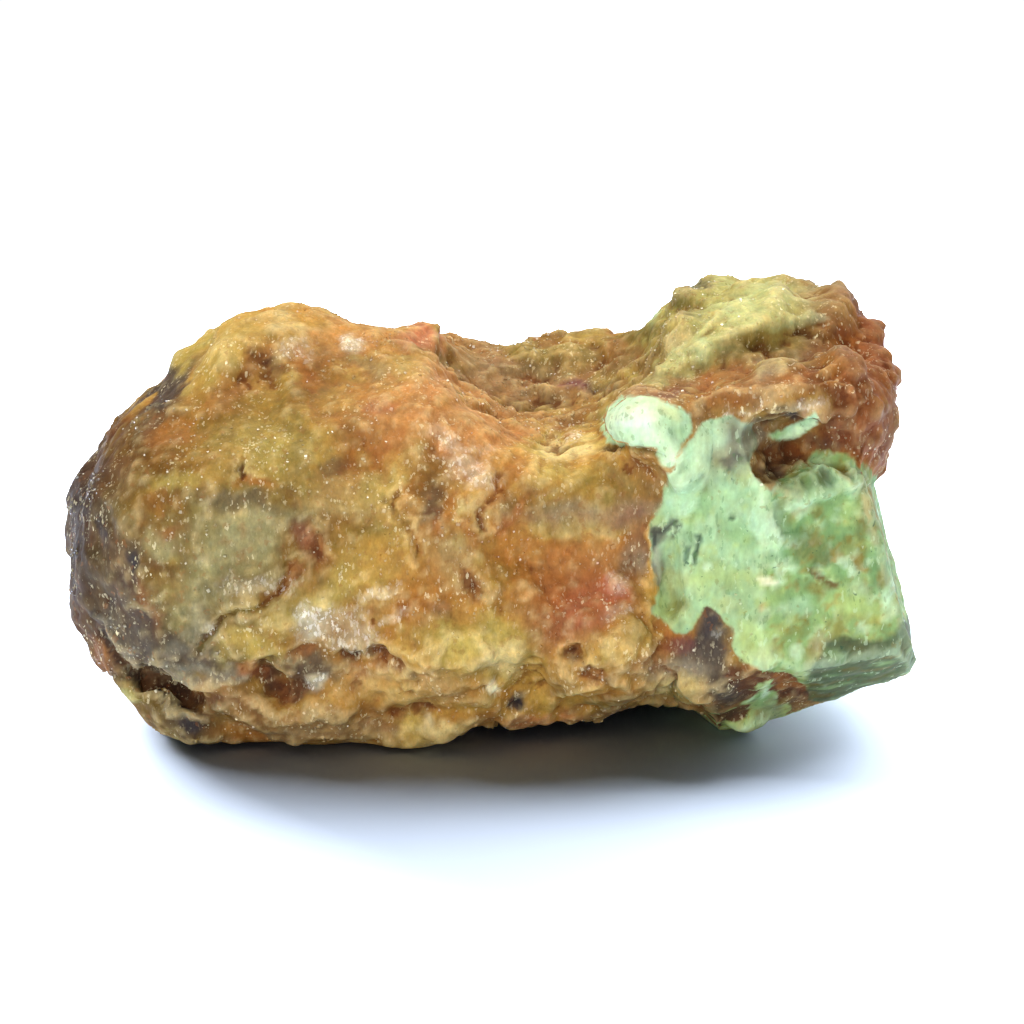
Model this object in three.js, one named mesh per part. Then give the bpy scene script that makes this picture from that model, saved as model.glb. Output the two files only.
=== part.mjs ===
// Raw fluorite: one rough lump, broken from its vein as a single stone. Its western two thirds are a honey
// and rust coloured mass with a rounded, undercut face, and its eastern third is a block of mint green with
// flat cleavage faces. Millimetres, +Z up, +X along the stone, with the broad face towards -Y. The origin
// is on the resting plane, under the middle of the stone. Places and sizes below are shares of the three
// driving dimensions.
import * as THREE from "three";

// Driving dimensions.
const LENGTH = 50; // along X
const DEPTH = 26; // along Y
const HEIGHT = 25; // along Z

const CELL = 1.15; // spacing of the grid that the surface is drawn on, which sets the number of triangles
const GRID_LOW = [-0.56, -0.6, -0.1]; // the grid's corners, in shares of length, depth and height
const GRID_HIGH = [0.56, 0.6, 1.12];

const UNIT = HEIGHT / 100; // blends, bump heights and other small lengths are in hundredths of the height
const DEGREE = Math.PI / 180;

// The large masses. `at` is the centre and `size` the full extent, in shares of length, depth and height.
// `turn` is in degrees about X, Y and Z, `square` goes from 2 for an ellipsoid towards a box, and `melt` is
// how far a mass blends into what it grows from, in UNITs.
const MASSES = [
  { name: "west dome", at: [-0.235, -0.03, 0.445], size: [0.515, 0.84, 0.74],
    turn: [0, 4, 0], square: 2.5, melt: 4 },
  { name: "west crown", at: [-0.252, 0.07, 0.69], size: [0.27, 0.6, 0.53],
    turn: [0, 6, 0], square: 2.3, melt: 8 },
  { name: "west foot", at: [-0.262, -0.02, 0.18], size: [0.42, 0.78, 0.4],
    turn: [0, 5, 0], square: 3.2, melt: 2 },
  { name: "west heel", at: [-0.15, 0.12, 0.13], size: [0.3, 0.5, 0.3], square: 2.6, melt: 6 },
  { name: "middle body", at: [0.03, -0.02, 0.42], size: [0.56, 0.82, 0.64], square: 2.8, melt: 10 },
  { name: "middle base", at: [0.02, 0.02, 0.16], size: [0.5, 0.7, 0.3],
    turn: [0, -4, 0], square: 3, melt: 6 },
  { name: "shoulder", at: [-0.07, -0.05, 0.63], size: [0.24, 0.62, 0.48],
    turn: [0, 26, 0], square: 2.4, melt: 8 },
  { name: "shoulder ridge", at: [-0.11, 0.06, 0.69], size: [0.2, 0.5, 0.42],
    turn: [0, 4, -18], square: 2.5, melt: 6 },
  { name: "back wall", at: [0.06, 0.28, 0.51], size: [0.5, 0.38, 0.63], square: 2.8, melt: 8 },
  { name: "back foot", at: [0.16, 0.25, 0.1], size: [0.24, 0.34, 0.3],
    turn: [0, -4, 0], square: 2.8, melt: 6 },
  { name: "east core", at: [0.262, 0.1, 0.46], size: [0.296, 0.76, 0.8], square: 2.8, melt: 10 },
  { name: "east crown", at: [0.316, 0.19, 0.85], size: [0.24, 0.62, 0.34],
    turn: [12, 4, 10], square: 2.5, melt: 7 },
  { name: "crown slope", at: [0.2, 0.15, 0.715], size: [0.2, 0.5, 0.3],
    turn: [0, -30, 14], square: 2.4, melt: 6 },
  { name: "east brow", at: [0.29, -0.12, 0.735], size: [0.32, 0.46, 0.28],
    turn: [0, 4, 0], square: 2.5, melt: 8 },
  { name: "east cap", at: [0.379, 0.02, 0.715], size: [0.174, 0.58, 0.38],
    turn: [0, 4, 0], square: 2.6, melt: 4 },
];

// Flat breaks that trim the masses. Each faces `toward` and passes `through` a point.
const BREAKS = [
  { name: "west shoulder", toward: [-0.7, -0.05, 0.71], through: [-0.356, 0.0, 0.815] },
  { name: "west end", toward: [-0.95, -0.28, 0.16], through: [-0.49, -0.1, 0.4] },
  { name: "west foot end", toward: [-0.76, -0.1, -0.65], through: [-0.458, 0.0, 0.16] },
  { name: "front", toward: [-0.06, -0.99, 0.1], through: [-0.2, -0.45, 0.45] },
  { name: "north-west upper", toward: [-0.3, 0.7, 0.64], through: [-0.26, 0.36, 0.74] },
  { name: "north-west lower", toward: [-0.56, 0.8, -0.2], through: [-0.32, 0.38, 0.36] },
  { name: "north", toward: [0.2, 0.97, -0.14], through: [-0.06, 0.44, 0.4] },
  { name: "north middle", toward: [0.1, 0.78, 0.62], through: [0.08, 0.44, 0.7] },
  { name: "north-east upper", toward: [0.4, 0.86, 0.3], through: [0.3, 0.48, 0.9] },
  { name: "north-east lower", toward: [0.6, 0.72, -0.34], through: [0.38, 0.4, 0.5] },
  { name: "north foot", toward: [-0.1, 0.86, -0.5], through: [0.02, 0.46, 0.24] },
];
const BREAK_ROUND = 5; // how far the edges of a break are rounded, in UNITs

// The green block is what lies inside all of these cleavage faces.
const BLOCK_FACES = [
  { name: "west face", toward: [-0.3, -0.94, 0.14], through: [0.3, -0.42, 0.55] },
  { name: "east face", toward: [0.26, -0.95, 0.14], through: [0.3, -0.42, 0.55] },
  { name: "heel", toward: [0.23, -0.62, -0.75], through: [0.38, -0.419, 0.255] },
  { name: "end", toward: [0.95, -0.05, 0.28], through: [0.486, 0.0, 0.22] },
  { name: "sole", toward: [0.38, 0.1, -0.92], through: [0.3, -0.2, 0.0] },
  { name: "keel", toward: [-0.72, -0.3, -0.62], through: [0.26, -0.3, 0.06] },
  { name: "lid", toward: [0.0, -0.35, 0.94], through: [0.35, -0.3, 0.745] },
  { name: "back", toward: [0.2, 0.97, 0.1], through: [0.35, 0.34, 0.4] },
  { name: "root", toward: [-0.95, 0.2, 0.2], through: [0.17, -0.2, 0.4] },
];
const BLOCK_ROUND = 2.5; // how far the block's edges are rounded, in UNITs
const BLOCK_MELT = 2;

// Forms that stand out from the face that they are seen on. The coordinate across that face is found on the
// surface, and `sink` is how far below it the form's centre lies, in UNITs.
const KNOBS = [
  { name: "lip", side: "front", at: [0.325, 0, 0.84], sink: 0, size: [0.18, 0.2, 0.13],
    turn: [0, 2, 0], melt: 4 },
  { name: "lip end", side: "front", at: [0.385, 0, 0.83], sink: 2, size: [0.08, 0.18, 0.15], melt: 4 },
  { name: "pale nub", side: "front", at: [0.182, 0, 0.775], sink: 4, size: [0.1, 0.26, 0.15],
    turn: [0, 6, 0], square: 3.2, melt: 2 },
  { name: "nub drip", side: "front", at: [0.21, 0, 0.7], sink: 1, size: [0.05, 0.1, 0.12],
    turn: [0, -14, 0], melt: 3 },
  { name: "south teat", side: "front", at: [-0.08, 0, 0.04], sink: 2, size: [0.08, 0.2, 0.18], melt: 4 },
  { name: "south swell", side: "front", at: [-0.01, 0, 0.12], sink: 4, size: [0.12, 0.18, 0.14], melt: 5 },
  { name: "honey boss", side: "front", at: [-0.04, 0, 0.28], sink: 6, size: [0.14, 0.22, 0.26],
    turn: [0, 8, 0], melt: 6 },
  { name: "rust boss", side: "front", at: [0.13, 0, 0.28], sink: 6, size: [0.13, 0.22, 0.26],
    turn: [0, -14, 0], melt: 5 },
  { name: "toe", side: "front", at: [0.285, 0, 0.025], sink: 3, size: [0.11, 0.22, 0.14],
    turn: [0, -8, 0], melt: 5 },
  { name: "crown fold", side: "top", at: [0.3, -0.02, 0], sink: 3, size: [0.24, 0.14, 0.1],
    turn: [0, 0, 24], melt: 5 },
  { name: "crown knuckle", side: "top", at: [0.252, 0.24, 0], sink: 1, size: [0.08, 0.24, 0.14],
    turn: [0, 0, 10], melt: 6 },
  { name: "ridge knuckle", side: "top", at: [-0.06, 0.1, 0], sink: 4, size: [0.07, 0.16, 0.1], melt: 4 },
  { name: "wall knuckle", side: "top", at: [0.07, 0.3, 0], sink: 5, size: [0.12, 0.12, 0.12], melt: 4 },
  { name: "north boss", side: "back", at: [-0.08, 0, 0.5], sink: 6, size: [0.2, 0.26, 0.4],
    turn: [0, 20, 0], melt: 6 },
  { name: "north bulb", side: "back", at: [0.22, 0, 0.34], sink: 6, size: [0.16, 0.26, 0.3],
    turn: [0, -16, 0], melt: 5 },
  { name: "north toe", side: "back", at: [-0.28, 0, 0.2], sink: 6, size: [0.2, 0.26, 0.26],
    turn: [0, 10, 0], melt: 5 },
  { name: "north shelf", side: "back", at: [-0.2, 0, 0.56], sink: 5, size: [0.3, 0.24, 0.16],
    turn: [0, 16, 0], melt: 4 },
  { name: "crown bulb", side: "back", at: [0.34, 0, 0.8], sink: 6, size: [0.16, 0.28, 0.26],
    turn: [0, -10, 0], melt: 5 },
];

// Forms that are cut into the face that they are seen on, in the same terms.
const HOLLOWS = [
  { name: "saddle", side: "top", at: [0.06, 0.02, 0], sink: -8, size: [0.22, 0.56, 0.2],
    turn: [4, 0, 12], melt: 13 },
  { name: "under the lip", side: "front", at: [0.348, 0, 0.765], sink: 0, size: [0.14, 0.2, 0.09],
    turn: [0, -4, 0], melt: 4 },
  { name: "undercut", side: "front", at: [-0.37, 0, 0.16], sink: 0, size: [0.3, 0.2, 0.08],
    turn: [0, 28, 0], melt: 3 },
  { name: "dark pocket", side: "front", at: [-0.25, 0, 0.19], sink: 0, size: [0.08, 0.14, 0.1],
    turn: [0, 30, 0], melt: 3 },
  { name: "honey recess", side: "front", at: [0.1, 0, 0.54], sink: -4, size: [0.22, 0.24, 0.3],
    turn: [0, -8, 0], melt: 4 },
  { name: "crown pit", side: "front", at: [-0.25, 0, 0.86], sink: -1, size: [0.07, 0.14, 0.1],
    turn: [0, 40, 0], melt: 3 },
  { name: "seam", side: "front", at: [0.2, 0, 0.44], sink: 0, size: [0.03, 0.12, 0.4],
    turn: [0, -6, 0], melt: 3 },
  { name: "block notch", side: "front", at: [0.344, 0, 0.715], sink: 0, size: [0.08, 0.2, 0.16],
    turn: [0, -6, 0], melt: 4 },
  { name: "north dish", side: "back", at: [0.08, 0, 0.3], sink: -8, size: [0.26, 0.4, 0.36],
    turn: [0, 20, 0], melt: 5 },
  { name: "north notch", side: "back", at: [-0.16, 0, 0.24], sink: -1, size: [0.08, 0.2, 0.36],
    turn: [0, 18, 0], melt: 4 },
  { name: "east notch", side: "east", at: [0, 0.24, 0.34], sink: -1, size: [0.08, 0.24, 0.4],
    turn: [-20, 0, 0], melt: 4 },
  { name: "belly", side: "under", at: [0.05, -0.02, 0], sink: -2, size: [0.26, 0.44, 0.16],
    turn: [0, -6, 0], melt: 6 },
];

// Lumps and hollows all over the rough stone, which the cleavage faces hardly have. `span` is about the
// distance from one lump to the next and `rise` is their height, in UNITs.
const LUMPS = [
  { span: 26, rise: 2.4 },
  { span: 12, rise: 1.3 },
];
const BLOCK_CALM = 0.25; // share of that height left on the block

// The way out of each face.
const SIDES = {
  front: new THREE.Vector3(0, -1, 0),
  back: new THREE.Vector3(0, 1, 0),
  west: new THREE.Vector3(-1, 0, 0),
  east: new THREE.Vector3(1, 0, 0),
  top: new THREE.Vector3(0, 0, 1),
  under: new THREE.Vector3(0, 0, -1),
};

function place([x, y, z]) {
  return new THREE.Vector3(x * LENGTH, y * DEPTH, z * HEIGHT);
}

// A form's place, size and turn, worked out once.
function prepare({ at, size, turn = [0, 0, 0], square = 2, melt }) {
  const turned = new THREE.Euler(...turn.map((angle) => angle * DEGREE));
  return {
    centre: place(at),
    half: place(size).multiplyScalar(0.5),
    unturn: new THREE.Quaternion().setFromEuler(turned).invert(),
    square,
    melt: melt * UNIT,
  };
}

function prepareFace({ toward, through }) {
  const normal = new THREE.Vector3(...toward).normalize();
  return { normal, reach: normal.dot(place(through)) };
}

// Distance from p to a rounded form, near enough for blending.
const local = new THREE.Vector3();
function roundForm(p, { centre, half, unturn, square }) {
  local.copy(p).sub(centre).applyQuaternion(unturn).divide(half);
  const [x, y, z] = [Math.abs(local.x), Math.abs(local.y), Math.abs(local.z)];
  const near = (x ** square + y ** square + z ** square) ** (1 / square);
  if (near < 1e-3) return -Math.min(half.x, half.y, half.z);
  const grow = near ** (1 - square);
  const power = square - 1;
  const slope = Math.hypot(x ** power / half.x, y ** power / half.y, z ** power / half.z);
  return (near - 1) / (grow * slope);
}

function smoothMin(a, b, k) {
  const overlap = Math.max(k - Math.abs(a - b), 0) / k;
  return Math.min(a, b) - (overlap * overlap * k) / 4;
}

const smoothMax = (a, b, k) => -smoothMin(-a, -b, k);

const insideFaces = (p, faces, start, round) =>
  faces.reduce((far, { normal, reach }) => smoothMax(far, normal.dot(p) - reach, round * UNIT), start);

const masses = MASSES.map(prepare);
const breaks = BREAKS.map(prepareFace);
const blockFaces = BLOCK_FACES.map(prepareFace);

// The rough masses, and the block, before anything stands out from them or is cut into them.
const joinForms = (p, forms, start) =>
  forms.reduce((near, form) => smoothMin(near, roundForm(p, form), form.melt), start);
const rough = (p) => insideFaces(p, breaks, joinForms(p, masses, LENGTH), BREAK_ROUND);
const block = (p) => insideFaces(p, blockFaces, -LENGTH, BLOCK_ROUND);
const body = (p) => smoothMin(rough(p), block(p), BLOCK_MELT * UNIT);

// Walks in from outside until it meets the body, and goes on by `sink`. Each step is half of what is left.
const MOST_STEPS = 200;
const NEAR_ENOUGH = 0.01;
function onSurface({ side, at, sink }) {
  const out = SIDES[side];
  const p = place(at).addScaledVector(out, LENGTH - out.dot(place(at)));
  for (let step = 0; step < MOST_STEPS && body(p) > NEAR_ENOUGH; step++) {
    p.addScaledVector(out, -0.5 * body(p));
  }
  return p.addScaledVector(out, -sink * UNIT);
}

const seat = (form) => ({ ...prepare(form), centre: onSurface(form) });
const knobs = KNOBS.map(seat);
const hollows = HOLLOWS.map(seat);

// Repeatable noise from -1 to 1 that is smooth over about one unit.
function lattice(i, j, k) {
  let n = Math.imul(i, 374761393) + Math.imul(j, 668265263) + Math.imul(k, 1013904223);
  n = Math.imul(n ^ (n >>> 13), 1274126177);
  return ((n ^ (n >>> 16)) >>> 0) / 2147483648 - 1;
}

const ease = (t) => t * t * (3 - 2 * t);
function noise(x, y, z) {
  const [i, j, k] = [x, y, z].map(Math.floor);
  const [u, v, w] = [ease(x - i), ease(y - j), ease(z - k)];
  let sum = 0;
  for (let corner = 0; corner < 8; corner++) {
    const [a, b, c] = [corner & 1, (corner >> 1) & 1, corner >> 2];
    sum += (a ? u : 1 - u) * (b ? v : 1 - v) * (c ? w : 1 - w) * lattice(i + a, j + b, k + c);
  }
  return sum;
}

function lumps(p) {
  return LUMPS.reduce((sum, { span, rise }) => {
    const step = (span * UNIT) / 2;
    return sum + rise * UNIT * noise(p.x / step, p.y / step, p.z / step);
  }, 0);
}

// The stone as a field: negative inside, zero on the surface, about true distance near it. It ends at the
// resting plane, so what would reach lower is a flat patch that it stands on.
function stone(p) {
  const raised = joinForms(p, knobs, body(p));
  const cut = (near, hollow) => smoothMax(near, -roundForm(p, hollow), hollow.melt);
  const carved = hollows.reduce(cut, raised);
  const onBlock = THREE.MathUtils.smoothstep(rough(p) - block(p), 0, 4 * UNIT);
  const calm = THREE.MathUtils.lerp(1, BLOCK_CALM, onBlock);
  return Math.max(carved - calm * lumps(p), -p.z);
}

// A cell face whose corners are in and out by turns would pinch the surface, so its nearer outside corner
// is filled.
function unpinch(values, steps) {
  const filled = -0.1 * CELL;
  let changed = true;
  while (changed) {
    changed = false;
    for (let here = 0; here < values.length - steps[1] - steps[2]; here++)
      for (let axis = 0; axis < 3; axis++) {
        const [s, t] = [steps[(axis + 1) % 3], steps[(axis + 2) % 3]];
        const [a, b, c, d] = [here, here + s, here + s + t, here + t];
        const [first, second] = [values[a] < 0, values[b] < 0];
        if (first === second || first !== values[c] < 0 || second !== values[d] < 0) continue;
        const [one, other] = first ? [b, d] : [a, c];
        values[values[one] < values[other] ? one : other] = filled;
        changed = true;
      }
  }
}

// Surface nets: one vertex in each grid cell that the surface passes through, joined across each crossed
// edge.
function surfaceOf(field, low, high, cell) {
  const counts = high.clone().sub(low).divideScalar(cell).ceil().addScalar(1);
  const [nx, ny, nz] = counts.toArray();
  const steps = [1, nx, nx * ny];
  const index = (i, j, k) => i + nx * (j + ny * k);
  const values = new Float64Array(nx * ny * nz);
  const p = new THREE.Vector3();
  for (let k = 0; k < nz; k++)
    for (let j = 0; j < ny; j++)
      for (let i = 0; i < nx; i++) {
        p.set(i, j, k).multiplyScalar(cell).add(low);
        values[index(i, j, k)] = field(p);
      }
  unpinch(values, steps);

  const vertexOf = new Map();
  const positions = [];
  for (let k = 0; k < nz - 1; k++)
    for (let j = 0; j < ny - 1; j++)
      for (let i = 0; i < nx - 1; i++) {
        const sum = new THREE.Vector3();
        let crossings = 0;
        for (let axis = 0; axis < 3; axis++)
          for (let side = 0; side < 4; side++) {
            const start = [0, 0, 0];
            start[(axis + 1) % 3] = side & 1;
            start[(axis + 2) % 3] = side >> 1;
            const end = start.slice();
            end[axis] = 1;
            const a = values[index(i + start[0], j + start[1], k + start[2])];
            const b = values[index(i + end[0], j + end[1], k + end[2])];
            if (a < 0 === b < 0) continue;
            start[axis] = a / (a - b);
            sum.add(p.fromArray(start));
            crossings += 1;
          }
        if (!crossings) continue;
        vertexOf.set(index(i, j, k), positions.length);
        positions.push(sum.divideScalar(crossings).add(p.set(i, j, k)).multiplyScalar(cell).add(low));
      }

  const triangles = [];
  for (let k = 1; k < nz - 1; k++)
    for (let j = 1; j < ny - 1; j++)
      for (let i = 1; i < nx - 1; i++) {
        const here = index(i, j, k);
        for (let axis = 0; axis < 3; axis++) {
          const inside = values[here] < 0;
          if (inside === values[here + steps[axis]] < 0) continue;
          const [s, t] = [steps[(axis + 1) % 3], steps[(axis + 2) % 3]];
          const ring = [here, here - s, here - s - t, here - t].map((cellIndex) => vertexOf.get(cellIndex));
          if (!inside) ring.reverse();
          const [a, b, c, d] = ring;
          const shortFirst = positions[a].distanceTo(positions[c]) < positions[b].distanceTo(positions[d]);
          triangles.push(...(shortFirst ? [a, b, c, a, c, d] : [a, b, d, b, c, d]));
        }
      }
  return { positions, triangles };
}

// Brings the surface to the driving dimensions, centred over the origin, with its lowest face on the
// resting plane.
function fitToBox(positions) {
  const box = new THREE.Box3().setFromPoints(positions);
  const foot = box.getCenter(new THREE.Vector3()).setZ(box.min.z);
  const scale = new THREE.Vector3(LENGTH, DEPTH, HEIGHT).divide(box.getSize(new THREE.Vector3()));
  for (const vertex of positions) vertex.sub(foot).multiply(scale);
}

function makeStone() {
  const surface = surfaceOf(stone, place(GRID_LOW), place(GRID_HIGH), CELL);
  fitToBox(surface.positions);
  const geometry = new THREE.BufferGeometry().setFromPoints(surface.positions);
  geometry.setIndex(surface.triangles);
  geometry.computeVertexNormals();
  const material = new THREE.MeshStandardMaterial({ color: 0xb5894a, roughness: 0.45, metalness: 0 });
  const mesh = new THREE.Mesh(geometry, material);
  mesh.name = "fluorite_stone";
  return mesh;
}

const part = new THREE.Group();
part.add(makeStone());
export default part;
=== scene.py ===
"""Raw fluorite: the finished stone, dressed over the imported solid.

The stone is one natural lump: a honey and olive crust of sugary crystals, with a block of green
fluorite grown into its east end. Lengths are in millimetres until a mesh is made.
"""

import math
from collections import namedtuple

import bpy
import numpy as np
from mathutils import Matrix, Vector


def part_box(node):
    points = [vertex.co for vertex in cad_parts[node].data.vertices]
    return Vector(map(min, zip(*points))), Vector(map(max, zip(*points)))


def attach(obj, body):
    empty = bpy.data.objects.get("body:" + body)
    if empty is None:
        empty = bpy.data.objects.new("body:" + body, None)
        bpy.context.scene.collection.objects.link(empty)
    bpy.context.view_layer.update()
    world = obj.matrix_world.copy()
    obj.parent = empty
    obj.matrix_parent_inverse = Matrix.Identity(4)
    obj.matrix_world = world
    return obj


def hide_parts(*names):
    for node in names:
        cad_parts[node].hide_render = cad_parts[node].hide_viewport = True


bl_info = {
    "name": "Raw fluorite",
    "version": (1, 0, 0),
    "blender": (4, 5, 0),
    "location": "3D View > Sidebar > Fluorite",
    "description": "Dresses the raw fluorite: the crusted stone, its sugar grains and a plain stage",
    "category": "Object",
}

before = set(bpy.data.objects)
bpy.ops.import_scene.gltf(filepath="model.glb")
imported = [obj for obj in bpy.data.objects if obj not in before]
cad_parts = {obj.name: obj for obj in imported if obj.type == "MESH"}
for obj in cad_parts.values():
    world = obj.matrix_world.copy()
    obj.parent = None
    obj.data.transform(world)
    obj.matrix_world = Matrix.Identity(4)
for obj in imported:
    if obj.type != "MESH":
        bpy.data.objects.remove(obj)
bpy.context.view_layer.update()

MM = 0.001
SOLID = "fluorite_stone"
LOW = np.array(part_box(SOLID)[0]) / MM
HIGH = np.array(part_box(SOLID)[1]) / MM
SIZE = HIGH - LOW

# A hundredth of the length, the middle of the box at floor level, and the directions along the floor.
UNIT = SIZE[0] / 100
FOOT = np.array([(LOW[0] + HIGH[0]) / 2, (LOW[1] + HIGH[1]) / 2, LOW[2]])
SIDEWAYS = np.array([1, 1, 0])

# The eye that the front is seen from: the point that it looks at, its distance from there, its lens and
# how many degrees it is raised.
AIM = np.array([0.03, 0.0, 0.232]) * SIZE[0]
REACH = 3.716 * SIZE[0]
LENS_MM = 110.0
SENSOR_MM = 36.0
FRONT_RISE = 18.0

# The seed of every random number. Each noise adds a small number of its own to it.
SEED = 11

# ---------------------------------------------------------------------------------------------
# Colours
# ---------------------------------------------------------------------------------------------

PALETTE = {
    "gold": (196, 146, 62),
    "honey": (170, 122, 48),
    "straw": (188, 162, 80),
    "olive": (136, 112, 42),
    "moss": (106, 86, 32),
    "ochre": (160, 98, 38),
    "rust": (144, 88, 44),
    "dark_rust": (92, 56, 34),
    "tan": (152, 110, 58),
    "peach": (192, 136, 74),
    "rose": (190, 118, 78),
    "coral": (176, 92, 62),
    "brown": (114, 76, 44),
    "umber": (60, 42, 30),
    "soot": (36, 25, 21),
    "cream": (236, 210, 148),
    "pearl": (228, 240, 214),
    "smoke": (78, 66, 56),
    "slate": (54, 51, 54),
    "ash": (138, 128, 104),
    "sage": (158, 149, 100),
    "frost": (224, 214, 182),
    "plum": (120, 68, 62),
    "mint": (178, 208, 160),
    "milk": (212, 232, 186),
    "leaf": (136, 170, 106),
    "lime": (176, 190, 110),
    "fern": (94, 124, 72),
    "teal": (50, 78, 58),
    "jade": (72, 80, 56),
    "crown": (168, 160, 86),
    "lichen": (192, 194, 126),
    # Spark is the colour of painted glints; the sugar grains are also paled towards it.
    "spark": (255, 238, 186),
}


def linear(colour):
    """The palette colour as light, from its everyday 0 to 255 values."""
    share = np.array(PALETTE[colour]) / 255
    return np.where(share <= 0.04045, share / 12.92, ((share + 0.055) / 1.055) ** 2.4)


# ---------------------------------------------------------------------------------------------
# Steady noise
# ---------------------------------------------------------------------------------------------

CORNERS = np.array([[x, y, z] for x in (0, 1) for y in (0, 1) for z in (0, 1)])
AROUND = np.array([[x, y, z] for x in (-1, 0, 1) for y in (-1, 0, 1) for z in (-1, 0, 1)])


def cell_value(cell, seed):
    """A steady random number from 0 to 1 for every whole-number cell."""
    mixed = (cell[..., 0] * 73856093) ^ (cell[..., 1] * 19349663) ^ (cell[..., 2] * 83492791)
    mixed = (mixed ^ (seed * 2654435761)) & 0xFFFFFFFF
    mixed = ((mixed ^ (mixed >> 15)) * 2246822519) & 0xFFFFFFFF
    mixed = ((mixed ^ (mixed >> 13)) * 3266489917) & 0xFFFFFFFF
    return (mixed ^ (mixed >> 16)) / 0xFFFFFFFF


def cell_vector(cell, seed):
    """A steady random direction and length for every cell, each axis from -1 to 1."""
    return np.stack([2 * cell_value(cell, seed + k) - 1 for k in range(3)], axis=-1)


def noise(points, span, seed):
    """Smooth noise, mostly from -1 to 1, whose lumps are about one span wide."""
    scaled = points / span + 17.3
    base = np.floor(scaled).astype(np.int64)
    part = scaled - base
    ease = part ** 3 * (part * (part * 6 - 15) + 10)
    total = np.zeros(len(points))
    for corner in CORNERS:
        slope = cell_vector(base + corner, SEED + seed)
        weight = np.prod(np.where(corner, ease, 1 - ease), axis=1)
        total += weight * np.sum(slope * (part - corner), axis=1)
    return total * 1.8


def layered(points, span, seed, layers=3, keep=0.5):
    """Noise on noise, each layer half as wide and keep times as strong as the last."""
    total = np.zeros(len(points))
    strength = 1.0
    for layer in range(layers):
        total += strength * noise(points, span / 2 ** layer, seed + 10 * layer)
        strength *= keep
    return total


def cells(points, span, seed):
    """How far each point is from its nearest and next random centre, in spans, and that centre's number."""
    scaled = points / span + 31.7
    base = np.floor(scaled).astype(np.int64)
    nearest = np.full(len(points), 9.0)
    following = np.full(len(points), 9.0)
    number = np.zeros(len(points))
    for step in AROUND:
        cell = base + step
        centre = cell + 0.5 + 0.42 * cell_vector(cell, SEED + seed)
        gap = np.linalg.norm(centre - scaled, axis=1)
        closer = gap < nearest
        following = np.where(closer, nearest, np.minimum(following, gap))
        number = np.where(closer, cell_value(cell, SEED + seed + 5), number)
        nearest = np.where(closer, gap, nearest)
    return nearest, following, number


def ramp(values, start, end):
    """0 at start, 1 at end, and a smooth rise between them. Start may be the larger one."""
    share = np.clip((values - start) / (end - start), 0, 1)
    return share * share * (3 - 2 * share)


# ---------------------------------------------------------------------------------------------
# The sides that the stone is seen from, and what is placed on each
# ---------------------------------------------------------------------------------------------

SIDES = {
    "front": (0, FRONT_RISE),
    "back": (180, 15),
    "west": (270, 10),
    "east": (90, 10),
    "top": (0, 82),
    "under": (0, -80),
}

# A mark is an oval patch on one side of the stone. Across and up are its middle, to the right of and
# above the middle of that view, and wide and high are its half sizes, all in hundredths of the
# stone's length. Turn is in degrees, and push is in millimetres: above 0 stands out, below 0 is sunk.
Mark = namedtuple("Mark", "colour across up wide high turn amount push", defaults=(0, 0.8, 0))

# A seam is a line along the surface through a few points, placed as a mark is.
Seam = namedtuple("Seam", "colour points width amount push", defaults=(0.8, -0.3))


def as_marks(*rows):
    """The marks of one side, from rows that hold their values in the order above."""
    return [Mark(*row) for row in rows]


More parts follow.
